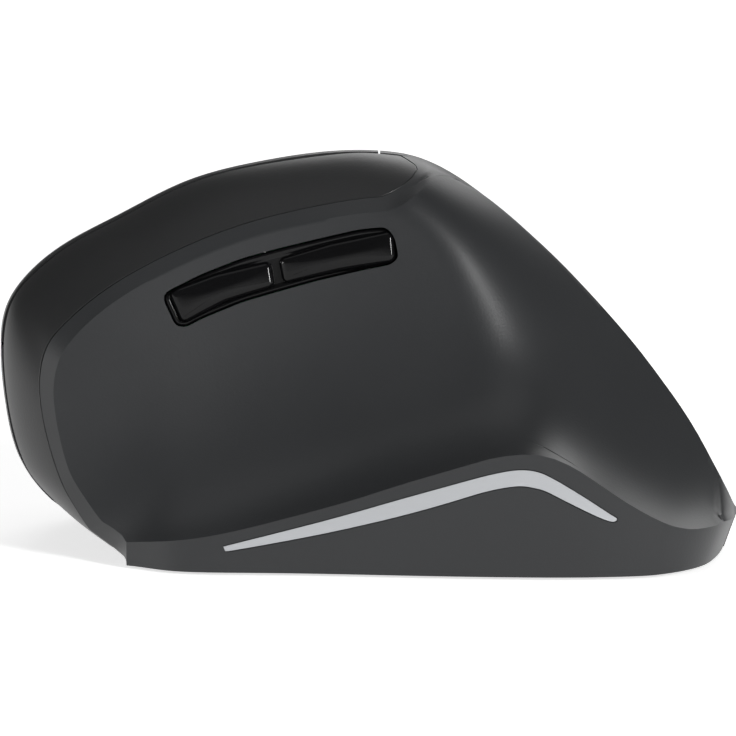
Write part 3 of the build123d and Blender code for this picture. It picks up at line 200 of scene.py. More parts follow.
@dataclass(eq=False)
class MouseForm:
    """The outer form of the mouse, given on its leaning plane."""

    length: float = 0.996 * (CAD_BOX[1][0] - CAD_BOX[0][0])
    width: float = 0.975 * (CAD_BOX[1][1] - CAD_BOX[0][1])
    height: float = 0.065
    lean: float = math.radians(9.0)
    face_depth: float = 0.0225
    rim_depth: float = 0.020
    ridge_depth: float = 0.005
    seam_depth: float = 0.008
    seam_gap: float = 0.0003
    scoop: float = 0.0024
    scoop_place: tuple[float, float] = (-0.13, 0.46)
    scoop_reach: tuple[float, float] = (0.20, 0.45)
    bulge: float = 0.0020
    bulge_place: float = 0.17
    bulge_reach: float = 0.12
    middle_height: float = 0.4
    ledge_blend: float = 0.008
    heel_round_top: float = 0.011
    heel_round: float = 0.026
    heel_low: float = 0.45
    heel_drop: float = 0.014
    heel_start: float = 0.2
    heel_run: float = 0.284
    flare_share: float = 0.2
    outside_reach: float = 0.004
    side_flare: float = math.radians(6.0)
    heel_flare: float = math.radians(20.0)
    heel_crease: float = 0.0055
    foot: float = 0.0005
    rim_power: float = 1.8
    heel_power: float = 2.4
    sample_count: int = 241
    wall_rounds: int = 12
    halvings: int = 24

    def __post_init__(self) -> None:
        """Fits the outlines."""
        upright = (self.length, self.height)
        self.silhouette = SmoothLine(SILHOUETTE_SHARES, upright)
        self.rim = SmoothLine(RIM_SHARES, upright)
        self.bevel = SmoothLine(BEVEL_SHARES, upright)
        self.plan = SmoothLine(PLAN_SHARES, (self.length, self.width))
        self.heel_edge = SmoothLine(SILHOUETTE_SHARES[14:], upright).samples(self.sample_count)
        self.ledge = SmoothLine(LEDGE_SHARES, upright).samples(self.sample_count)
        plan = SmoothLine([self.heel_plan(shares) for shares in PLAN_SHARES], (1.0, 1.0))
        edge = plan.samples(self.sample_count)
        self.plan_edge = edge[: int(edge[:, 0].argmax()) + 1]
        line = self.plan.samples(self.sample_count)
        self.plan_line = line[: int(line[:, 0].argmax()) + 1]

    @property
    def middle(self) -> Vector:
        """A place inside the mouse."""
        return self.place(0, self.middle_height * self.height, 0)

    def sized(self, shares: Points) -> list[tuple[float, float]]:
        """Points of the leaning plane in metres, from their shares."""
        return [(along * self.length, up * self.height) for along, up in shares]

    def leans_back(self, along: float) -> float:
        """How fully the base wall leans back at a share of the length, from nought to one."""
        return eased((along - self.heel_start) / self.heel_run)

    def heel_plan(self, shares: Sequence[float]) -> tuple[float, float]:
        """A plan point at the height of the heel's crease, before the side flare."""
        back = self.leans_back(shares[0])
        return (
            self.length * shares[0] + self.heel_crease * math.tan(self.heel_flare) * back,
            self.width * shares[1],
        )

    def place(self, u: float, v: float, n: float) -> Vector:
        """The point u along, v up the lean and n towards the thumb."""
        return Vector((u, v * math.sin(self.lean) - n * math.cos(self.lean),
                       v * math.cos(self.lean) + n * math.sin(self.lean)))

    def leaning(self, point: Vector) -> tuple[float, float, float]:
        """The leaning coordinates of a point."""
        return (point.x, point.y * math.sin(self.lean) + point.z * math.cos(self.lean),
                point.z * math.sin(self.lean) - point.y * math.cos(self.lean))

    def plain_depth(self, u: float, v: float) -> float:
        """Depth of the thumb face without its ledge.

        Args:
            u: place along the mouse.
            v: place up the lean.

        Returns:
            Depth towards the thumb.
        """
        along, up = self.scoop_place
        reach_along, reach_up = self.scoop_reach
        rise = hump(v, up * self.height, reach_up * self.height)
        depth = self.face_depth - self.scoop * rise * hump(u, along * self.length, reach_along * self.length)
        depth += self.bulge * hump(u, self.bulge_place * self.length, self.bulge_reach * self.length)
        runs = self.heel_edge[1:] - self.heel_edge[:-1]
        spokes = (u, v) - self.heel_edge[:-1]
        shares = numpy.clip((spokes * runs).sum(1) / (runs * runs).sum(1), 0, 1)
        away = numpy.hypot(*(spokes - runs * shares[:, None]).T)
        nearest = int(away.argmin())
        side = spokes[nearest, 0] * runs[nearest, 1] - spokes[nearest, 1] * runs[nearest, 0]
        inside = math.copysign(float(away[nearest]), side)
        nearest_height = self.heel_edge[nearest, 1] + runs[nearest, 1] * shares[nearest]
        low = eased((self.height - nearest_height) / (self.heel_low * self.height))
        reach = self.heel_round_top + (self.heel_round - self.heel_round_top) * low
        if inside < reach:
            depth -= self.heel_drop * (1 - max(inside, -self.outside_reach) / reach) ** self.heel_power
        return depth

    def wall_depth(self, u: float, v: float) -> float:
        """Depth of the base wall beside a place on the thumb face.

        Args:
            u: place along the mouse.
            v: place up the lean.

        Returns:
            Depth towards the thumb.
        """
        edge = float(numpy.interp(u, self.plan_edge[:, 0], self.plan_edge[:, 1]))
        slope = math.tan(self.side_flare)
        return (v * (math.sin(self.lean) + slope * math.cos(self.lean)) - edge) / (
            math.cos(self.lean) - slope * math.sin(self.lean)
        )

    def wall_face(self, u: float, v: float) -> float:
        """Depth at which a line into the thumb face meets the base wall itself.

        Args:
            u: place along the mouse.
            v: place up the lean.

        Returns:
            Depth towards the thumb.
        """
        edge = self.plan_line
        back = numpy.clip((edge[:, 0] / self.length - self.heel_start) / self.heel_run, 0, 1)
        back = back * back * (3 - 2 * back)
        bow = math.tan(self.side_flare) * numpy.clip(-edge[:, 1] / (self.flare_share * self.width), 0, 1)
        depth = self.wall_depth(u, v)
        for _ in range(self.wall_rounds):
            height = v * math.cos(self.lean) + depth * math.sin(self.lean)
            along = edge[:, 0] + height * math.tan(self.heel_flare) * back
            side = float(numpy.interp(u, along, edge[:, 1] - height * bow))
            depth = (v * math.sin(self.lean) - side) / math.cos(self.lean)
        return depth

    def depth(self, u: float, v: float) -> float:
        """Depth of the whole thumb face, which flares out to the base wall at the ledge.

        Args:
            u: place along the mouse.
            v: place up the lean.

        Returns:
            Depth towards the thumb.
        """
        crease = float(numpy.interp(u, self.ledge[:, 0], self.ledge[:, 1]))
        flare = max(self.wall_depth(u, crease) - self.plain_depth(u, crease), 0.0)
        above = (v - crease) / self.ledge_blend
        growth = math.exp(-above) if above > 0 else 2 - math.exp(above)
        return self.plain_depth(u, v) + flare * growth

    def wall_point(self, number: float, height: float) -> Vector:
        """A point on the base wall.

        Args:
            number: plan point number.
            height: height above the floor.

        Returns:
            The point.
        """
        x, y = self.plan.at(number)
        back = self.leans_back(x / self.length)
        side = height * math.tan(self.side_flare) * min(max(-y / (self.flare_share * self.width), 0), 1)
        return Vector((x + height * math.tan(self.heel_flare) * back, y - side, height))

    @lru_cache(maxsize=None)
    def crease_height(self, number: float) -> float:
        """Height at which the base wall meets the thumb face.

        Args:
            number: plan point number.

        Returns:
            Height above the floor.
        """
        low, high = 0.0, self.middle_height * self.height
        for _ in range(self.halvings):
            middle = (low + high) / 2
            u, v, n = self.leaning(self.wall_point(number, middle))
            if n < self.depth(u, v):
                low = middle
            else:
                high = middle
        return low

    def rim_point(self, number: float, depth: float) -> numpy.ndarray:
        """The outline at one depth between the seam and the rim."""
        share = max((depth - self.ridge_depth) / (self.rim_depth - self.ridge_depth), 0.0) ** self.rim_power
        return (1 - share) * self.silhouette.at(number) + share * self.rim.at(number)


def grid_patch(bm: bmesh.types.BMesh, columns: int, rows: int, place: Place) -> None:
    """Adds a grid whose vertices are moved to a surface.

    Args:
        bm: mesh to add to.
        columns: faces across.
        rows: faces up.
        place: gives a point for shares across and up, each from nought to one.
    """
    made = bmesh.ops.create_grid(bm, x_segments=columns, y_segments=rows, size=1.0)
    for vert in made["verts"]:
        vert.co = place((vert.co.x + 1) / 2, (vert.co.y + 1) / 2)


def draw_out(bm: bmesh.types.BMesh, faces: Sequence[bmesh.types.BMFace], lift: Vector) -> None:
    """Extrudes faces into a closed block.

    Args:
        bm: mesh that holds them.
        faces: the faces.
        lift: from the faces to their new copies.
    """
    made = bmesh.ops.extrude_face_region(bm, geom=faces)["geom"]
    verts = [item for item in made if isinstance(item, bmesh.types.BMVert)]
    bmesh.ops.translate(bm, verts=verts, vec=lift)
    bmesh.ops.recalc_face_normals(bm, faces=bm.faces)


def rounded(points: Points, radius: float, steps: int = 4) -> list[tuple[float, float]]:
    """A closed outline with its corners rounded.

    Args:
        points: the corners, in order.
        radius: radius of the rounding, which short sides limit.
        steps: how many pieces make one corner.

    Returns:
        The points of the rounded outline.
    """
    soft = []
    for index, corner in enumerate(points):
        here = Vector(corner)
        back, onward = Vector(points[index - 1]) - here, Vector(points[(index + 1) % len(points)]) - here
        cut = min(radius, 0.45 * back.length, 0.45 * onward.length)
        first, last = here + back.normalized() * cut, here + onward.normalized() * cut
        for step in range(steps + 1):
            share = step / steps
            soft.append(tuple(first.lerp(here, share).lerp(here.lerp(last, share), share)))
    return soft


def grown(points: Points, amount: float) -> list[tuple[float, float]]:
    """A closed outline with every point moved outwards, for an outline that runs clockwise.

    Args:
        points: the outline.
        amount: how far each point moves.

    Returns:
        The points of the moved outline.
    """
    moved = []
    for index, (x, y) in enumerate(points):
        before, after = points[index - 1], points[(index + 1) % len(points)]
        run = math.hypot(after[0] - before[0], after[1] - before[1])
        moved.append((x - amount * (after[1] - before[1]) / run, y + amount * (after[0] - before[0]) / run))
    return moved


class Scene:
    """Makes the objects of the mouse, seats them on their bodies and logs them."""

    ROUNDED_FROM = math.radians(50.0)

    @staticmethod
    def smooth(mesh: bpy.types.Mesh, sharp_degrees: float) -> None:
        """Shades a mesh smooth, apart from edges sharper than an angle."""
        mesh.polygons.foreach_set("use_smooth", [True] * len(mesh.polygons))
        mesh.set_sharp_from_angle(angle=math.radians(sharp_degrees))

    @classmethod
    def from_bmesh(cls, bm: bmesh.types.BMesh, name: str, sharp_degrees: float = 40.0) -> bpy.types.Object:
        """Makes an object from a bmesh and frees the bmesh.

        Args:
            bm: the mesh.
            name: name of the object.
            sharp_degrees: edges sharper than this stay sharp.

        Returns:
            The object, linked to the scene.
        """
        mesh = bpy.data.meshes.new(name)
        bm.to_mesh(mesh)
        bm.free()
        cls.smooth(mesh, sharp_degrees)
        piece = bpy.data.objects.new(name, mesh)
        bpy.context.scene.collection.objects.link(piece)
        return piece

    @classmethod
    def settled(cls, piece: bpy.types.Object, sharp_degrees: float = 40.0) -> bpy.types.Object:
        """Applies every modifier of a piece.

        Args:
            piece: the object.
            sharp_degrees: edges sharper than this stay sharp.

        Returns:
            The same object.
        """
        bpy.context.view_layer.update()
        seen = piece.evaluated_get(bpy.context.evaluated_depsgraph_get())
        mesh = bpy.data.meshes.new_from_object(seen)
        piece.modifiers.clear()
        piece.data = mesh
        cls.smooth(mesh, sharp_degrees)
        return piece

    @classmethod
    def cut(cls, piece: bpy.types.Object, cutters: Sequence[bpy.types.Object], sharp_degrees: float) -> None:
        """Cuts the cutters out of a piece and removes them.

        Args:
            piece: the object to cut.
            cutters: closed objects that are used up.
            sharp_degrees: edges sharper than this stay sharp.
        """
        for cutter in cutters:
            modifier = piece.modifiers.new("opening", "BOOLEAN")
            modifier.operation = "DIFFERENCE"
            modifier.solver = "EXACT"
            modifier.object = cutter
        cls.settled(piece, sharp_degrees)
        for cutter in cutters:
            bpy.data.objects.remove(cutter)

    @staticmethod
    def add_shell(piece: bpy.types.Object, thickness: float) -> None:
        """Gives an open surface the thickness of a moulded wall.

        Args:
            piece: the object, whose faces stay the outside.
            thickness: thickness of the wall.
        """
        modifier = piece.modifiers.new("wall", "SOLIDIFY")
        modifier.thickness = thickness
        modifier.offset = -1.0
        modifier.use_even_offset = False

    @classmethod
    def add_round(cls, piece: bpy.types.Object, width: float, segments: int = 2) -> None:
        """Rounds the sharp edges of a piece.

        Args:
            piece: the object.
            width: width of the rounding.
            segments: how many faces make it.
        """
        modifier = piece.modifiers.new("edge_round", "BEVEL")
        modifier.width = width
        modifier.segments = segments
        modifier.limit_method = "ANGLE"
        modifier.angle_limit = cls.ROUNDED_FROM
        modifier.harden_normals = False
        modifier.use_clamp_overlap = True

    @staticmethod
    def merged(node: str) -> bmesh.types.BMesh:
        """A copy of a construction node's mesh with its loose triangles joined.

        Args:
            node: name of the node.

        Returns:
            The copy.
        """
        bm = bmesh.new()
        bm.from_mesh(frame["nodes"][node].data)
        bmesh.ops.remove_doubles(bm, verts=bm.verts, dist=WELD)
        bmesh.ops.dissolve_degenerate(bm, edges=bm.edges, dist=WELD)
        return bm

    @staticmethod
    def turn_outwards(bm: bmesh.types.BMesh, inside: Vector) -> None:
        """Turns the faces of an open sheet away from a place behind it.

        Args:
            bm: the sheet.
            inside: the place.
        """
        bmesh.ops.recalc_face_normals(bm, faces=bm.faces)
        outward = [(face.calc_center_median() - inside).dot(face.normal) > 0 for face in bm.faces]
        if 2 * sum(outward) < len(outward):
            bmesh.ops.reverse_faces(bm, faces=bm.faces)

    @staticmethod
    def body(node: str) -> str:
        """The body that a construction node rides on."""
        groups = frame["record"]["behaviour"]["bodies"]
        return next(name for name, members in groups.items() if node in members)

    @staticmethod
    def slot(node: str) -> str:
        """The material slot that the record gives a construction node."""
        return next(part["material_slot"] for part in frame["record"]["subparts"] if part["node"] == node)

    @staticmethod
    def dress(piece: bpy.types.Object, finish: "Finish") -> None:
        """Gives a piece its finish and no other."""
        piece.data.materials.clear()
        piece.data.materials.append(finish.material())

    @classmethod
    def seat(cls, piece: bpy.types.Object, finish: "Finish", *nodes: str) -> bpy.types.Object:
        """Dresses a piece and lets it stand for construction nodes.

        Args:
            piece: the object.
            finish: its finish.
            nodes: the nodes that it replaces, the first of which gives its body.

        Returns:
            The same object.
        """
        cls.dress(piece, finish)
        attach(piece, cls.body(nodes[0]))
        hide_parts(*nodes)
        cls.slot(nodes[0])
        log.info("built %s in place of %s", piece.name, ", ".join(nodes))
        return piece


class Surface(Enum):
    """How a finish's fine surface is formed."""

    SPARKED = "sparked"
    POLISHED = "polished"
    BRUSHED = "brushed"
    MASKED = "masked"


@dataclass(frozen=True)
class Wiring:
    """The nodes and links of one shader node tree."""

    tree: bpy.types.NodeTree

    @classmethod
    def group(cls, name: str, inputs: Sequence[tuple[str, str, float]], outputs: Sequence[str]) -> tuple:
        """Starts a shader node group.

        Args:
            name: name of the group.
            inputs: name, socket type and starting value of each input.
            outputs: names of the outputs, all of them values.

        Returns:
            The group's wiring, its input node and its output node.
        """
        tree = bpy.data.node_groups.new(name, "ShaderNodeTree")
        for label, kind, value in inputs:
            socket = tree.interface.new_socket(name=label, in_out="INPUT", socket_type=kind)
            if kind == "NodeSocketFloat":
                socket.default_value = value
        for label in outputs:
            tree.interface.new_socket(name=label, in_out="OUTPUT", socket_type="NodeSocketFloat")
        return cls(tree), tree.nodes.new("NodeGroupInput"), tree.nodes.new("NodeGroupOutput")

    def fill(self, socket: Socket, value: Value) -> None:
        """Links an input from a socket, or sets its value.

        Args:
            socket: the input.
            value: a socket, a number or a colour.
        """
        if isinstance(value, Socket):
            self.tree.links.new(value, socket)
        else:
            socket.default_value = value

    def feed(self, node: bpy.types.Node, given: Mapping[str, Value]) -> bpy.types.Node:
        """Fills inputs of a node.

        Args:
            node: the node.
            given: what each named input gets.

        Returns:
            The same node.
        """
        for name, value in given.items():
            self.fill(node.inputs[name], value)
        return node

    def add(self, kind: str, given: Mapping[str, Value]) -> bpy.types.Node:
        """A new node with its inputs filled."""
        return self.feed(self.tree.nodes.new(kind), given)

    def effect(self, group: bpy.types.NodeTree, given: Mapping[str, Value]) -> bpy.types.Node:
        """Places a node group.

        Args:
            group: the group.
            given: what each named input gets.

        Returns:
            The group's node.
        """
        node = self.tree.nodes.new("ShaderNodeGroup")
        node.node_tree = group
        return self.feed(node, given)

    def colour_mix(self, given: Mapping[str, Value]) -> Socket:
        """Mixes two colours.

        Args:
            given: the colours A and B, and the factor.

        Returns:
            The socket of the result.
        """
        node = self.tree.nodes.new("ShaderNodeMix")
        node.data_type = "RGBA"
        return self.feed(node, given).outputs["Result"]

    def math(self, operation: str, first: Value, second: Value) -> Socket:
        """Adds one sum.

        Args:
            operation: name of the sum.
            first: a socket or a number.
            second: a socket or a number.

        Returns:
            The socket of the result.
        """
        node = self.tree.nodes.new("ShaderNodeMath")
        node.operation = operation
        for socket, value in zip(node.inputs, (first, second)):
            self.fill(socket, value)
        return node.outputs[0]


class Effects:
    """The shader groups that the finishes share, each of them made once."""

    WEAR_SLOPE = 12.0
    made: dict[str, bpy.types.NodeTree] = {}

    @classmethod
    def grain(cls) -> bpy.types.NodeTree:
        """Sparked moulding grain: height, and a value that varies the roughness.

        Returns:
            The group.
        """
        if "grain" in cls.made:
            return cls.made["grain"]
        wires, given, result = Wiring.group(
            "moulded_grain",
            [("Vector", "NodeSocketVector", 0), ("Grain Size", "NodeSocketFloat", 0.0003),
             ("Patch Size", "NodeSocketFloat", 0.02)],
            ["Height", "Patches"],
        )
        vector = given.outputs["Vector"]
        fine_scale = wires.math("DIVIDE", 1.0, given.outputs["Grain Size"])
        fine = wires.add("ShaderNodeTexNoise", {"Vector": vector, "Scale": fine_scale, "Detail": 3.0})
        pit_scale = wires.math("DIVIDE", 0.6, given.outputs["Grain Size"])
        pits = wires.add("ShaderNodeTexVoronoi", {"Vector": vector, "Scale": pit_scale})
        height = wires.math("MULTIPLY", fine.outputs[0], pits.outputs["Distance"])
        broad_scale = wires.math("DIVIDE", 1.0, given.outputs["Patch Size"])
        broad = wires.add("ShaderNodeTexNoise", {"Vector": vector, "Scale": broad_scale, "Detail": 4.0})
        wires.feed(result, {"Height": height, "Patches": broad.outputs[0]})
        cls.made["grain"] = wires.tree
        return wires.tree

    @classmethod
    def edge_wear(cls) -> bpy.types.NodeTree:
        """Wear along raised edges, broken up by a noise.

        Returns:
            The group.
        """
        if "wear" in cls.made:
            return cls.made["wear"]
        wires, given, result = Wiring.group(
            "edge_wear",
            [("Vector", "NodeSocketVector", 0), ("Start", "NodeSocketFloat", 0.53),
             ("Amount", "NodeSocketFloat", 0.5)],
            ["Mask"],
        )
        geometry = wires.add("ShaderNodeNewGeometry", {})
        raised = wires.math("SUBTRACT", geometry.outputs["Pointiness"], given.outputs["Start"])
        scaled = wires.math("MULTIPLY", raised, cls.WEAR_SLOPE)
        broken = wires.add("ShaderNodeTexNoise", {"Vector": given.outputs["Vector"], "Scale": 900.0})
        rough = wires.math("MULTIPLY", scaled, broken.outputs[0])
        amount = wires.math("MULTIPLY", rough, given.outputs["Amount"])
        kept = wires.add("ShaderNodeClamp", {"Value": amount})
        wires.feed(result, {"Mask": kept.outputs[0]})
        cls.made["wear"] = wires.tree
        return wires.tree


@dataclass(frozen=True)
class Finish:
    """The finish of a piece: colour, sheen, grain and wear."""

    PATCH_GAIN: ClassVar[float] = 1.5
    SMOOTHEST: ClassVar[float] = 0.02
    WEAR_POLISH: ClassVar[float] = 0.25
    name: str
    colour: tuple[float, float, float]
    roughness: float
    surface: Surface = Surface.SPARKED
    second_colour: tuple[float, float, float] | None = None
    variation: float = 0.08
    grain_size: float = 0.0003
    grain_depth: float = 0.08
    patch_size: float = 0.02
    wear: float = 0.35
    wear_gain: float = 1.6
    metallic: float = 0.0
    coat: float = 0.0
    coat_roughness: float = 0.1
    specular: float = 0.5
    transmission: float = 0.0

    def material(self) -> bpy.types.Material:
        """The material of this finish, made once.

        Returns:
            The material.
        """
        title = self.name + "_finish"
        known = bpy.data.materials.get(title)
        if known:
            return known
        material = bpy.data.materials.new(title)
        material.use_nodes = True
        wires = Wiring(material.node_tree)
        shader = wires.feed(material.node_tree.nodes["Principled BSDF"], {
            "Metallic": self.metallic,
            "Coat Weight": self.coat,
            "Coat Roughness": self.coat_roughness,
            "Specular IOR Level": self.specular,
            "Transmission Weight": self.transmission,
        })
        place = wires.add("ShaderNodeTexCoord", {}).outputs["Object"]
        grain = wires.effect(Effects.grain(), {
            "Vector": self.stretched(wires, place),
            "Grain Size": self.grain_size,
            "Patch Size": self.patch_size,
        })
        wear = wires.effect(Effects.edge_wear(), {"Vector": place, "Amount": self.wear}).outputs["Mask"]
        share = grain.outputs["Patches"]
        if self.surface is Surface.MASKED:
            traces = {"Vector": place, "Scale": 260.0, "Mortar Size": 0.06}
            share = wires.add("ShaderNodeTexBrick", traces).outputs["Fac"]
        bump = wires.add("ShaderNodeBump", {
            "Strength": self.grain_depth,
            "Distance": self.grain_size,
            "Height": grain.outputs["Height"],
        })
        wires.feed(shader, {
            "Base Color": self.painted(wires, share, wear),
            "Roughness": self.roughened(wires, grain.outputs["Patches"], wear),
            "Normal": bump.outputs["Normal"],
        })
        return material

    def stretched(self, wires: Wiring, place: Socket) -> Socket:
        """The pattern's coordinates, drawn out along the mouse on a brushed surface.

        Args:
            wires: the material's wiring.
            place: the object's own coordinates.

        Returns:
            The socket of the coordinates.
        """
        if self.surface is not Surface.BRUSHED:
            return place
        return wires.add("ShaderNodeMapping", {"Vector": place, "Scale": (0.04, 1.0, 1.0)}).outputs["Vector"]

    def painted(self, wires: Wiring, share: Socket, wear: Socket) -> Socket:
        """Patches of the base colour, and paler worn edges.

        Args:
            wires: the material's wiring.
            share: how far the second colour shows.
            wear: how worn the surface is.

        Returns:
            The socket of the colour.
        """
        second = self.second_colour or tuple(value * (1 + self.variation * 2) for value in self.colour)
        darker = (*(value * (1 - self.variation) for value in self.colour), 1)
        paler = (*(min(value * self.wear_gain, 1) for value in self.colour), 1)
        blend = wires.colour_mix({"A": darker, "B": (*second, 1), "Factor": share})
        return wires.colour_mix({"A": blend, "B": paler, "Factor": wear})

    def roughened(self, wires: Wiring, patches: Socket, wear: Socket) -> Socket:
        """A roughness that varies with handling, and is a little lower on worn edges.

        Args:
            wires: the material's wiring.
            patches: a value that varies over the surface.
            wear: how worn the surface is.

        Returns:
            The socket of the roughness.
        """
        varied = wires.add("ShaderNodeMapRange", {
            "To Min": max(self.roughness * (1 - self.variation * self.PATCH_GAIN), self.SMOOTHEST),
            "To Max": min(self.roughness * (1 + self.variation * self.PATCH_GAIN), 1.0),
            "Value": patches,
        })
        polished = wires.math("MULTIPLY", wear, self.WEAR_POLISH * self.roughness)
        return wires.math("SUBTRACT", varied.outputs[0], polished)


SHELL = Finish("shell_charcoal", (0.0190, 0.0200, 0.0213), 0.40, grain_depth=0.05, variation=0.05, wear=0.25,
               specular=0.40)
SPINE = Finish("spine_black", (0.0140, 0.0143, 0.0148), 0.38, grain_depth=0.05, variation=0.05, wear=0.25,
               specular=0.36)
GLOSS = Finish("gloss_black", (0.0030, 0.0030, 0.0033), 0.12, Surface.POLISHED, grain_depth=0.01,
               specular=0.22,
               variation=0.15, wear=0.1)
SILVER = Finish("strip_silver", (0.42, 0.43, 0.445), 0.42, Surface.BRUSHED, metallic=0.35, grain_depth=0.04,
                variation=0.06, wear=0.2, wear_gain=1.3)
BASE = Finish("base_black", (0.020, 0.020, 0.021), 0.55, grain_size=0.0006, grain_depth=0.2)
RUBBER = Finish("wheel_rubber", (0.014, 0.014, 0.014), 0.62, grain_depth=0.15, variation=0.12)
HUB = Finish("hub_grey", (0.26, 0.26, 0.27), 0.32, Surface.POLISHED, grain_depth=0.03)
STEEL = Finish("steel", (0.56, 0.56, 0.57), 0.26, Surface.BRUSHED, metallic=1.0, grain_depth=0.06,
               wear_gain=1.2)
BOARD = Finish("board_green", (0.012, 0.085, 0.032), 0.34, Surface.MASKED, second_colour=(0.03, 0.16, 0.06))
PART = Finish("part_black", (0.018, 0.018, 0.020), 0.42)
RED = Finish("plunger_red", (0.42, 0.02, 0.015), 0.3, Surface.POLISHED, grain_depth=0.02)
CLEAR = Finish("clear_lens", (0.85, 0.87, 0.90), 0.06, Surface.POLISHED, transmission=0.9, grain_depth=0.0)
GLIDE = Finish("glide_grey", (0.30, 0.31, 0.32), 0.45, grain_depth=0.06)
WRAP = Finish("cell_wrap", (0.07, 0.15, 0.09), 0.3, Surface.POLISHED, coat=0.4)
RECEIVER = Finish("receiver_black", (0.022, 0.022, 0.023), 0.35)
RIBBON = Finish("ribbon_white", (0.62, 0.62, 0.58), 0.5, grain_depth=0.05)
FINISHES = {finish.name: finish for finish in (
    SHELL, SPINE, GLOSS, SILVER, BASE, RUBBER, HUB, STEEL, BOARD, PART, RED, CLEAR, GLIDE, WRAP, RECEIVER,
    RIBBON,
)}


@dataclass
class ThumbShell:
    """The charcoal moulding of the thumb side: face, bevelled edge, heel and base wall."""

    form: MouseForm
    wall: float = 0.0018
    nose_start: float = 0.88
    top_turn: float = 9.0
    spine_end: float = 14.05
    heel_turn: float = 17.009
    heel_end: float = 27.2
    rows: int = 93
    front_columns: int = 46
    rear_columns: int = 27
    wall_rows: int = 16
    strip_groove: float = 0.0009
    strip_gap: float = 0.00015
    pocket_gap: float = 0.00015
    sharp_degrees: float = 35.0
    weld: float = 2e-6
    heel_blend: float = 3.0
    wall_steps: int = 20
    wall_last: int = 17
    bevel_rows: tuple[float, ...] = (0.0, 0.07, 0.2, 0.5, 0.8, 0.93, 1.0)
    rim_rows: tuple[float, ...] = (0.0, 0.05, 0.12, 0.21, 0.3, 0.4, 0.5, 0.6, 0.7, 0.79, 0.87, 0.94, 1.0)

    @property
    def over_rows(self) -> tuple[float, ...]:
        """The rows of points over the bevel and on over the rim."""
        return self.bevel_rows[:-1] + tuple(1 + share for share in self.rim_rows)

    def behind_spine(self, number: float) -> float:
        """How fully the plain heel has taken the bevel's place at an outline point, from nought to one."""
        return eased((number - self.spine_end) / self.heel_blend)

    def outline_number(self, column: int) -> float:
        """The outline point number of one column.

        Args:
            column: counted from the nose along the top and down the heel.

        Returns:
            The number.
        """
        if column <= self.rows:
            return self.nose_start + (self.top_turn - self.nose_start) * column / self.rows
        column -= self.rows
        if column <= self.front_columns:
            return self.top_turn + (self.spine_end - self.top_turn) * column / self.front_columns
        column -= self.front_columns
        return self.spine_end + (self.heel_end - self.spine_end) * column / (self.rear_columns + self.rows)

    def edge(self, number: float) -> tuple[float, float]:
        """The edge of the thumb face: the bevel's foot, which joins the silhouette behind the spine.

        Args:
            number: outline point number.

        Returns:
            Its places along the mouse and up the lean.
        """
        share = self.behind_spine(number)
        u, v = (1 - share) * self.form.bevel.at(number) + share * self.form.silhouette.at(number)
        return float(u), float(v)

    def edge_point(self, number: float) -> Vector:
        """A point on the edge of the thumb face."""
        u, v = self.edge(number)
        return self.form.place(u, v, self.form.depth(u, v))

    def over_rim(self, number: float, share: float) -> Vector:
        """A point on the way from the edge of the thumb face to the seam.

        Args:
            number: outline point number.
            share: nought to one over the bevel, and one to two over the rim down to the seam.

        Returns:
            The point.
        """
        form = self.form
        edge = Vector((*self.edge(number), 0))
        edge.z = form.depth(edge.x, edge.y)
        rim = Vector((*form.rim.at(number), form.rim_depth))
        if share <= 1:
            upright = edge.lerp(rim, share)
        else:
            depth = form.rim_depth + (form.seam_depth + form.seam_gap / 2 - form.rim_depth) * (share - 1)
            upright = Vector((*form.rim_point(number, depth), depth))
        heel = edge.lerp(Vector((*form.silhouette.at(number), edge.z)), min(share, 1.0))
        heel.z = edge.z + (form.seam_depth + form.seam_gap / 2 - edge.z) * share / 2
        blended = self.behind_spine(number)
        point = upright.lerp(heel, blended)
        if 0 < share < 2 and blended < 1:
            point.z = min(point.z, max(form.depth(point.x, point.y), form.seam_depth))
        return form.place(*point)

    def find_wall(self) -> None:
        """Finds which plan points meet the two lower corners of the thumb face, and the crease between."""
        near, far = self.edge_point(self.nose_start), self.edge_point(self.heel_end)
        steps = range(self.wall_steps, self.wall_last * self.wall_steps)
        numbers = [step / self.wall_steps for step in steps]
        creases = [self.form.wall_point(number, self.form.crease_height(number)) for number in numbers]
        first = min(range(len(numbers)), key=lambda index: (creases[index] - near).length)
        last = min(range(len(numbers)), key=lambda index: (creases[index] - far).length)
        self.wall_start, self.wall_end = numbers[first], numbers[last]

    def crease(self, share: float) -> tuple[float, float, float]:
        """A place on the crease between the wall and the thumb face.

        Args:
            share: nought at the nose and one at the heel.

        Returns:
            Its leaning coordinates.
        """
        number = self.wall_start + (self.wall_end - self.wall_start) * share
        point = self.form.wall_point(number, self.form.crease_height(number))
        return self.form.leaning(point)

    def face_place(self, across: float, up: float) -> Vector:
        """A point on the thumb face, spread between its four edges.

        Args:
            across: share of the way across.
            up: share of the way up.

        Returns:
            The point.
        """
        columns = self.front_columns + self.rear_columns
        column, row = round(across * columns), round(up * self.rows)
        left = Vector(self.edge(self.outline_number(row)))
        right = Vector(self.edge(self.outline_number(2 * self.rows + columns - row)))
        top = Vector(self.edge(self.outline_number(self.rows + column)))
        if row == self.rows:
            return self.over_rim(self.outline_number(self.rows + column), 0.0)
        if column == 0 and row:
            return self.over_rim(self.outline_number(row), 0.0)
        if column == columns and row:
            return self.over_rim(self.outline_number(2 * self.rows + columns - row), 0.0)
        bottom = Vector(self.crease(across)[:2])
        low = Vector(self.crease(0.0)[:2]).lerp(Vector(self.crease(1.0)[:2]), across)
        high = Vector(self.edge(self.top_turn)).lerp(Vector(self.edge(self.heel_turn)), across)
        u, v = bottom.lerp(top, up) + left.lerp(right, across) - low.lerp(high, up)
        if row == 0:
            return self.wall_place(across, 1.0)
        return self.form.place(u, v, self.form.depth(u, v))

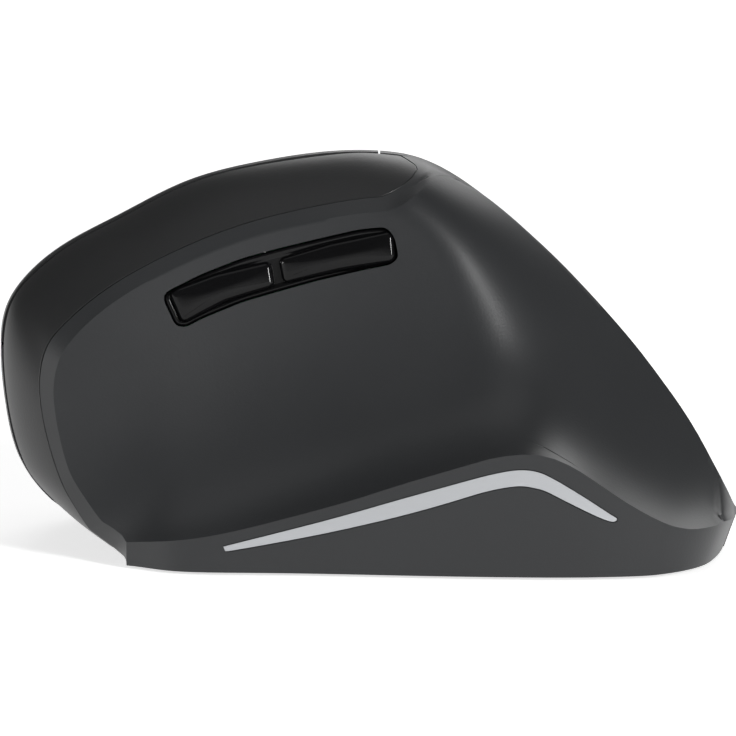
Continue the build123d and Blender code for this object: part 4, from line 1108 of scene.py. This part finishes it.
    def bevel_place(self, across: float, up: float) -> Vector:
        """A point on the bevel in front of the spine's end."""
        number = self.outline_number(round(across * (self.rows + self.front_columns)))
        return self.over_rim(number, self.bevel_rows[round(up * (len(self.bevel_rows) - 1))])

    def heel_place(self, across: float, up: float) -> Vector:
        """A point on the rim behind the spine's end.

        Args:
            across: share of the way across.
            up: share of the way up.

        Returns:
            The point.
        """
        rows = self.over_rows
        share = rows[round(up * (len(rows) - 1))]
        start = spine_end(share - 1) if share > 1 else self.spine_end
        return self.over_rim(start + (self.heel_end - start) * across, share)

    def wall_place(self, across: float, up: float) -> Vector:
        """A point on the base wall, from the foot to the crease.

        Args:
            across: share of the way across.
            up: share of the way up.

        Returns:
            The point.
        """
        number = self.wall_start + (self.wall_end - self.wall_start) * across
        high = self.form.crease_height(number)
        return self.form.wall_point(number, self.form.foot + (high - self.form.foot) * up)

    def end_place(self, across: float, up: float) -> Vector:
        """A point on the heel's low wall, which runs on from the base wall to the seam.

        Args:
            across: share of the way across.
            up: share of the way up.

        Returns:
            The point.
        """
        rows = self.over_rows
        share = rows[round(across * (len(rows) - 1))]
        top = self.over_rim(self.heel_end, share)
        low, high = self.wall_end, float(len(PLAN_SHARES) - 1)
        for _ in range(self.form.halvings):
            middle = (low + high) / 2
            low, high = (middle, high) if self.form.plan.at(middle)[1] < top.y else (low, middle)
        if across == 0:
            low = self.wall_end
        foot = self.form.wall_point(low, self.form.foot)
        side = self.form.wall_point(low, top.z)
        bowed = foot.lerp(side, up)
        return bowed + (top - side) * up

    def nose_place(self, across: float, up: float) -> Vector:
        """A point under the nose, from the front foot up to the lower end of the bevel and the spine.

        Args:
            across: share of the way across.
            up: share of the way up.

        Returns:
            The point.
        """
        rows = self.over_rows
        top = self.over_rim(self.nose_start, rows[round(across * (len(rows) - 1))])
        corner = self.form.wall_point(self.wall_start, self.form.foot)
        inset = (corner.y - self.edge_point(self.nose_start).y) * (1 - across)
        foot = Vector((corner.x, top.y + inset, self.form.foot))
        return foot.lerp(top, up)

    def skin(self) -> bmesh.types.BMesh:
        """The outer surface of the moulding as one welded sheet.

        Returns:
            The sheet.
        """
        bm = bmesh.new()
        grid_patch(bm, self.front_columns + self.rear_columns, self.rows, self.face_place)
        grid_patch(bm, self.rows + self.front_columns, len(self.bevel_rows) - 1, self.bevel_place)
        over = len(self.over_rows) - 1
        grid_patch(bm, self.rear_columns + self.rows, over, self.heel_place)
        grid_patch(bm, self.front_columns + self.rear_columns, self.wall_rows, self.wall_place)
        grid_patch(bm, over, self.wall_rows, self.end_place)
        grid_patch(bm, over, self.wall_rows // 2, self.nose_place)
        bmesh.ops.remove_doubles(bm, verts=bm.verts, dist=self.weld)
        Scene.turn_outwards(bm, self.form.middle)
        return bm

    def build(self) -> bpy.types.Object:
        """The moulding, with its pocket for the thumb buttons and its groove for the strip.

        Returns:
            The piece.
        """
        self.find_wall()
        shell = Scene.from_bmesh(self.skin(), "thumb_shell_moulding")
        Scene.add_shell(shell, self.wall)
        Scene.settled(shell, self.sharp_degrees)
        pocket = pocket_cutter(self.form, self.pocket_gap)
        strip = AccentStrip(self.form)
        groove = strip.band("strip_groove", self.strip_gap, self.strip_groove, 2 * self.wall)
        Scene.cut(shell, (pocket, groove), self.sharp_degrees)
        return Scene.seat(shell, SHELL, "thumb_side_shell")


def spine_end(share: float) -> float:
    """The outline point where the spine cover ends, for one share of the way over the rim."""
    table = numpy.array(SPINE_END)
    return float(numpy.interp(share, table[:, 0], table[:, 1]))


@dataclass
class SpineCover:
    """The black cover over the top edge, from the nose to behind the thumb buttons."""

    shell: ThumbShell
    wall: float = 0.0011
    gap: float = 0.00016
    end_gap: float = 0.014
    seam_room: float = 2.8
    columns: int = 150
    rows: int = 30
    rim_run: float = 0.012
    edge_round: float = 0.0003

    def place(self, across: float, up: float) -> Vector:
        """A point on the cover.

        Args:
            across: share of the way across.
            up: share of the way up.

        Returns:
            The point.
        """
        start = self.shell.nose_start
        end = spine_end(up) - self.end_gap
        number = start + (end - start) * across
        begin = self.gap / self.rim_run
        return self.shell.over_rim(number, 1 + begin + (1 - self.seam_room * begin) * up)

    def build(self) -> bpy.types.Object:
        """The cover as a moulded wall with rounded edges.

        Returns:
            The piece.
        """
        bm = bmesh.new()
        grid_patch(bm, self.columns, self.rows, self.place)
        Scene.turn_outwards(bm, self.shell.form.middle)
        cover = Scene.from_bmesh(bm, "spine_cover_moulding")
        Scene.add_shell(cover, self.wall)
        Scene.settled(cover)
        Scene.add_round(cover, self.edge_round, segments=3)
        return Scene.seat(cover, SPINE, "spine_cover")


def spread(points: Points, step: float) -> list[tuple[float, float]]:
    """A closed outline with more points on its long sides.

    Args:
        points: the outline.
        step: the longest side that stays whole.

    Returns:
        The points of the same outline.
    """
    closer = []
    for index, corner in enumerate(points):
        here, onward = Vector(corner), Vector(points[(index + 1) % len(points)])
        count = max(math.ceil((onward - here).length / step), 1)
        closer += [tuple(here.lerp(onward, share / count)) for share in range(count)]
    return closer


def pocket_outline(form: MouseForm, growth: float, shares: Points, radius: float = 0.0016) -> list:
    """An outline on the thumb face, rounded at its corners and then grown.

    Args:
        form: the form of the mouse.
        growth: how far the outline is moved outwards.
        shares: its corners.
        radius: radius of the corners.

    Returns:
        The points of the outline.
    """
    return grown(spread(rounded(form.sized(shares), radius), OUTLINE_STEP), growth)


def pocket_cutter(form: MouseForm, gap: float) -> bpy.types.Object:
    """The block that opens the pocket of the thumb buttons.

    Args:
        form: the form of the mouse.
        gap: room left around the surround.

    Returns:
        The block.
    """
    bm = bmesh.new()
    level = form.rim_depth * POCKET_LEVEL
    outline = pocket_outline(form, gap, POCKET_SHARES)
    floor = bm.faces.new([bm.verts.new(form.place(u, v, level)) for u, v in outline])
    draw_out(bm, [floor], form.place(0, 0, level))
    return Scene.from_bmesh(bm, "pocket_cutter")


@dataclass
class AccentStrip:
    """The silver strip let into the base wall."""

    form: MouseForm
    thickness: float = 0.0008
    sink: float = 0.00005
    columns: int = 90
    rows: int = 6
    tip: float = 12.5
    weld: float = 1e-5
    edge_round: float = 0.0002

    def band(self, name: str, growth: float, below: float, above: float) -> bpy.types.Object:
        """A band along the wall, as the strip itself or as the cutter of its groove.

        Args:
            name: name of the object.
            growth: how far its outline stands out from the strip's.
            below: depth under the wall.
            above: height over the wall.

        Returns:
            The object.
        """
        line = SmoothLine(grown(self.form.sized(STRIP_SHARES), growth), (1.0, 1.0))
        last = len(STRIP_SHARES) - 1

        def place(across: float, up: float) -> Vector:
            """A point between the band's lower and upper edge.

            Args:
                across: share of the way along the band.
                up: share of the way to its upper edge.

            Returns:
                The point.
            """
            near = line.at(last - (last - self.tip) * across)
            far = line.at(self.tip * across)
            u, v = near + (far - near) * up
            return self.form.place(u, v, self.form.wall_face(u, v) + above)

        bm = bmesh.new()
        grid_patch(bm, self.columns, self.rows, place)
        bmesh.ops.remove_doubles(bm, verts=bm.verts, dist=self.weld)
        draw_out(bm, bm.faces[:], self.form.place(0, 0, -below - above))
        return Scene.from_bmesh(bm, name)

    def build(self) -> bpy.types.Object:
        """The strip.

        Returns:
            The piece.
        """
        strip = self.band("accent_strip_inlay", 0.0, self.thickness, -self.sink)
        Scene.add_round(strip, self.edge_round)
        return Scene.seat(strip, SILVER, "accent_strip")


@dataclass
class ThumbButtons:
    """The two thumb buttons and the gloss surround that they sit in."""

    form: MouseForm
    drop: float = 0.0010
    proud: float = 0.0012
    base: float = 0.0022
    lip: float = 0.0002
    lip_rows: Points = ((0.0, -0.0003), (0.0001, -0.0001), (0.0003, 0.0), (0.0007, 0.0))
    floor_inset: float = 0.0010
    foot: float = 0.0001
    corner: float = 0.0005
    edge_round: float = 0.0011
    crown: float = 0.0006
    round_steps: int = 6
    middle_steps: int = 8
    sharp_degrees: float = 55.0

    def loops(self, outline: Points, levels: Points, name: str, crowned: float = 0.0) -> bpy.types.Object:
        """A closed moulding made of loops that follow the thumb face.

        Args:
            outline: the outline on the leaning plane.
            levels: for each loop its inset, its share of the way to the middle and its height over the face.
            name: name of the object.
            crowned: how far its middle stands out beyond its rim.

        Returns:
            The object.
        """
        bm = bmesh.new()
        middle = numpy.mean(outline, axis=0)
        axes = numpy.linalg.svd(numpy.array(outline) - middle, full_matrices=False)[2]
        reaches = abs((numpy.array(outline) - middle) @ axes.T).max(axis=0)
        before = None
        for inset, inward, height in levels:
            ring = []
            for u, v in grown(outline, -inset):
                u, v = u + (middle[0] - u) * inward, v + (middle[1] - v) * inward
                along, out = (axes @ (u - middle[0], v - middle[1])) / reaches
                crown = crowned * max(1 - along * along, 0) * max(1 - out * out, 0)
                depth = self.form.plain_depth(u, v) + height + crown
                ring.append(bm.verts.new(self.form.place(u, v, depth)))
            edges = [bm.edges.new((ring[index - 1], ring[index])) for index in range(len(ring))]
            if before:
                bmesh.ops.bridge_loops(bm, edges=before + edges)
            else:
                bm.faces.new(ring)
            before = edges
        bm.faces.new(ring)
        bmesh.ops.recalc_face_normals(bm, faces=bm.faces)
        return Scene.from_bmesh(bm, name, self.sharp_degrees)

    def middle_rows(self, inset: float, height: float) -> list[tuple[float, float, float]]:
        """The rows that run from the edge of a flat towards its middle."""
        return [(inset, step / self.middle_steps, height) for step in range(1, self.middle_steps)]

    def surround(self) -> bpy.types.Object:
        """The gloss surround, whose floor follows the thumb face.

        Returns:
            The piece.
        """
        outline = pocket_outline(self.form, 0.0, POCKET_SHARES)
        lip, floor = -self.drop + self.lip, -self.drop
        levels = [(0.0, 0.0, -self.drop - self.base)]
        levels += [(inset, 0.0, lip + rise) for inset, rise in self.lip_rows]
        levels += [(self.floor_inset, 0.0, floor)] + self.middle_rows(self.floor_inset, floor)
        piece = self.loops(outline, levels, "thumb_button_surround")
        return Scene.seat(piece, GLOSS, "thumb_button_bezel")

    def button(self, shares: Points, name: str, node: str) -> bpy.types.Object:
        """One thumb button, rounded at its edges and crowned.

        Args:
            shares: its corners.
            name: name of the piece.
            node: the construction node that it stands for.

        Returns:
            The object.
        """
        outline = pocket_outline(self.form, 0.0, shares, self.corner)
        top = self.proud - self.drop
        low = top - self.edge_round
        levels = [(0.0, 0.0, -self.drop + self.foot), (0.0, 0.0, low)]
        for step in range(1, self.round_steps + 1):
            turn = math.pi / 2 * step / self.round_steps
            inset, rise = 1 - math.cos(turn), math.sin(turn)
            levels.append((self.edge_round * inset, 0.0, low + self.edge_round * rise))
        levels += self.middle_rows(self.edge_round, top)
        return Scene.seat(self.loops(outline, levels, name, self.crown), GLOSS, node)

    def build(self) -> None:
        """The surround and both buttons."""
        self.surround()
        self.button(FORWARD_SHARES, "forward_button_cap", "forward_button")
        self.button(BACK_SHARES, "back_button_cap", "back_button")


@dataclass
class FingerSide:
    """The mouldings of the finger side, the click buttons and the scroll wheel."""

    softened: tuple[tuple[str, str], ...] = (
        ("palm_shell", "palm_shell_moulding"), ("left_click_button", "left_click_cap"),
        ("right_click_button", "right_click_cap"), ("centre_bridge", "centre_bridge_moulding"),
        ("dpi_button", "dpi_cap"),
    )
    sharp_degrees: float = 32.0
    rib_count: int = 44
    rib_depth: float = 0.00035
    rib_steps: int = 4
    rib_sharp_degrees: float = 30.0
    tread_depth: float = 0.0004
    tread_rows: tuple[float, ...] = (-0.6, -0.3, 0.0, 0.3, 0.6)
    shoulder_rows: tuple[tuple[float, float], ...] = ((1.0, 0.0016), (0.93, 0.0007), (0.78, 0.0002))
    bore_edge: tuple[float, float] = (0.98, 1.02)

    def build(self) -> None:
        """Copies of the mouldings with smooth faces."""
        for node, name in self.softened:
            piece = Scene.from_bmesh(Scene.merged(node), name, self.sharp_degrees)
            Scene.seat(piece, FINISHES[Scene.slot(node)], node)
        self.tyre()

    def tyre(self) -> None:
        """The tyre, whose ribs run across it."""
        bm = Scene.merged("wheel_tyre")
        spin = next(joint for joint in frame["joints"] if joint["name"] == "wheel_spin")
        axis, centre = Vector(spin["axis"]).normalized(), Vector(spin["pos_m"])
        low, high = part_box("wheel_tyre")
        across = Vector((1, 0, 0))
        up = axis.cross(across)
        ring = bmesh.new()
        reach = (high.x - low.x) / 2
        half = max(abs((vert.co - centre).dot(axis)) for vert in bm.verts)
        bore = min(((vert.co - centre) - axis * (vert.co - centre).dot(axis)).length for vert in bm.verts)
        bm.free()
        inset, flare = self.bore_edge
        side = [(-half * inset, bore), (-half, bore * flare)]
        side += [(-half * share, reach - fall) for share, fall in self.shoulder_rows]
        profile = side + [(half * share, reach) for share in self.tread_rows]
        profile += [(-place, out) for place, out in reversed(side)]
        verts = [ring.verts.new(centre + axis * place + up * out) for place, out in profile]
        edges = [ring.edges.new((verts[index - 1], verts[index])) for index in range(len(verts))]
        steps = self.rib_steps * self.rib_count
        bmesh.ops.spin(ring, geom=verts + edges, cent=centre, axis=axis, angle=2 * math.pi, steps=steps,
                       use_merge=True, use_duplicate=False)
        bmesh.ops.remove_doubles(ring, verts=ring.verts, dist=WELD)
        for vert in ring.verts:
            spoke = vert.co - centre
            place = spoke.dot(axis)
            spoke -= axis * place
            if spoke.length > reach - self.tread_depth:
                turn = math.atan2(spoke.dot(up), spoke.dot(across))
                groove = round(turn / (2 * math.pi) * steps) % self.rib_steps < self.rib_steps / 2
                vert.co = centre + axis * place + spoke * (1 - (self.rib_depth / reach if groove else 0.0))
        bmesh.ops.recalc_face_normals(ring, faces=ring.faces)
        piece = Scene.from_bmesh(ring, "wheel_tyre_ribbed", self.rib_sharp_degrees)
        Scene.seat(piece, RUBBER, "wheel_tyre")


def dress_nodes() -> None:
    """Gives every construction node that still shows the finish of its slot."""
    for node, piece in frame["nodes"].items():
        if piece.hide_render:
            continue
        finish = FINISHES[Scene.slot(node)]
        Scene.dress(piece, finish)
        log.info("dressed %s as %s", node, finish.name)


@dataclass
class Studio:
    """The pale floor, the soft lights and the camera of the photograph's view."""

    camera_place: tuple[float, float, float] = (0.0, -1.4770, 0.2631)
    camera_tilt: float = math.radians(81.0)
    lens: float = 440.6
    sensor_width: float = 36.0
    clip_end: float = 20.0
    target: tuple[float, float, float] = (0.0, 0.0, 0.03)
    floor_size: float = 6.0
    floor_colour: float = 0.76
    world_strength: float = 0.12
    floor_lift: float = 0.66
    ceiling: float = 0.05
    horizon: float = 0.16
    lights: tuple = (
        ("key_softbox", (0.80, -0.95, 0.42), (0.14, 0.60), 16.0),
        ("top_softbox", (-0.10, -0.10, 1.10), (0.90, 0.70), 1.0),
        ("left_softbox", (-1.10, -0.50, 0.24), (0.30, 0.50), 7.0),
        ("back_softbox", (0.25, 1.10, 0.70), (0.80, 0.50), 4.0),
    )

    def seen_directly(self, wires: Wiring, path: bpy.types.Node) -> Socket:
        """One where the camera sees a surface, straight or through a lens."""
        return wires.math("MAXIMUM", path.outputs["Is Camera Ray"], path.outputs["Is Transmission Ray"])

    def floor(self) -> None:
        """A pale floor that is lifted to white where the camera, a gloss or a lens sees it."""
        bm = bmesh.new()
        bmesh.ops.create_grid(bm, x_segments=1, y_segments=1, size=self.floor_size / 2)
        floor = Scene.from_bmesh(bm, "floor")
        material = bpy.data.materials.new("floor_white")
        material.use_nodes = True
        wires = Wiring(material.node_tree)
        path = wires.add("ShaderNodeLightPath", {})
        seen = wires.math("MAXIMUM", self.seen_directly(wires, path), path.outputs["Is Glossy Ray"])
        wires.feed(material.node_tree.nodes["Principled BSDF"], {
            "Base Color": (self.floor_colour, self.floor_colour, self.floor_colour, 1),
            "Roughness": 0.75,
            "Specular IOR Level": 0.2,
            "Emission Color": (1, 1, 1, 1),
            "Emission Strength": wires.math("MULTIPLY", seen, self.floor_lift),
        })
        floor.data.materials.append(material)

    def world(self) -> None:
        """A surround that is white to the camera and dim to the rest, and whose reflection dims overhead."""
        world = bpy.data.worlds.new("studio")
        world.use_nodes = True
        wires = Wiring(world.node_tree)
        path = wires.add("ShaderNodeLightPath", {})
        direct = self.seen_directly(wires, path)
        direction = wires.add("ShaderNodeTexCoord", {}).outputs["Generated"]
        parts = wires.add("ShaderNodeSeparateXYZ", {"Vector": direction})
        fall = wires.add("ShaderNodeMapRange", {
            "From Max": self.horizon,
            "To Min": 1.0,
            "To Max": self.ceiling,
            "Value": parts.outputs["Z"],
        })
        glossy = wires.math("MULTIPLY", path.outputs["Is Glossy Ray"], fall.outputs[0])
        seen = wires.math("MAXIMUM", direct, glossy)
        wires.feed(world.node_tree.nodes["Background"], {
            "Color": (1, 1, 1, 1),
            "Strength": wires.math("MAXIMUM", seen, self.world_strength),
        })
        bpy.context.scene.world = world

    def light(self) -> None:
        """The softboxes, each turned to the mouse."""
        target = Vector(self.target)
        for name, place, size, watts in self.lights:
            data = bpy.data.lights.new(name, "AREA")
            data.shape = "RECTANGLE"
            data.size, data.size_y = size
            data.energy = watts
            lamp = bpy.data.objects.new(name, data)
            lamp.location = place
            lamp.rotation_euler = (target - Vector(place)).to_track_quat("-Z", "Y").to_euler()
            bpy.context.scene.collection.objects.link(lamp)

    def camera(self) -> None:
        """The camera at the photograph's viewing angle."""
        data = bpy.data.cameras.new("camera")
        data.lens = self.lens
        data.sensor_width = self.sensor_width
        data.clip_end = self.clip_end
        camera = bpy.data.objects.new("camera", data)
        camera.location = self.camera_place
        camera.rotation_euler = (self.camera_tilt, 0, 0)
        bpy.context.scene.collection.objects.link(camera)
        bpy.context.scene.camera = camera

    def build(self) -> None:
        """The whole studio."""
        bpy.context.scene.view_settings.view_transform = "Standard"
        self.floor()
        self.world()
        self.light()
        self.camera()


def main() -> None:
    """Builds the mouse and its studio in order."""
    logging.basicConfig(level=logging.INFO, format="%(relativeCreated)d ms %(name)s: %(message)s")
    form = MouseForm()
    shell = ThumbShell(form)
    shell.build()
    SpineCover(shell).build()
    AccentStrip(form).build()
    ThumbButtons(form).build()
    FingerSide().build()
    dress_nodes()
    Studio().build()


if __name__ == "__main__":
    main()
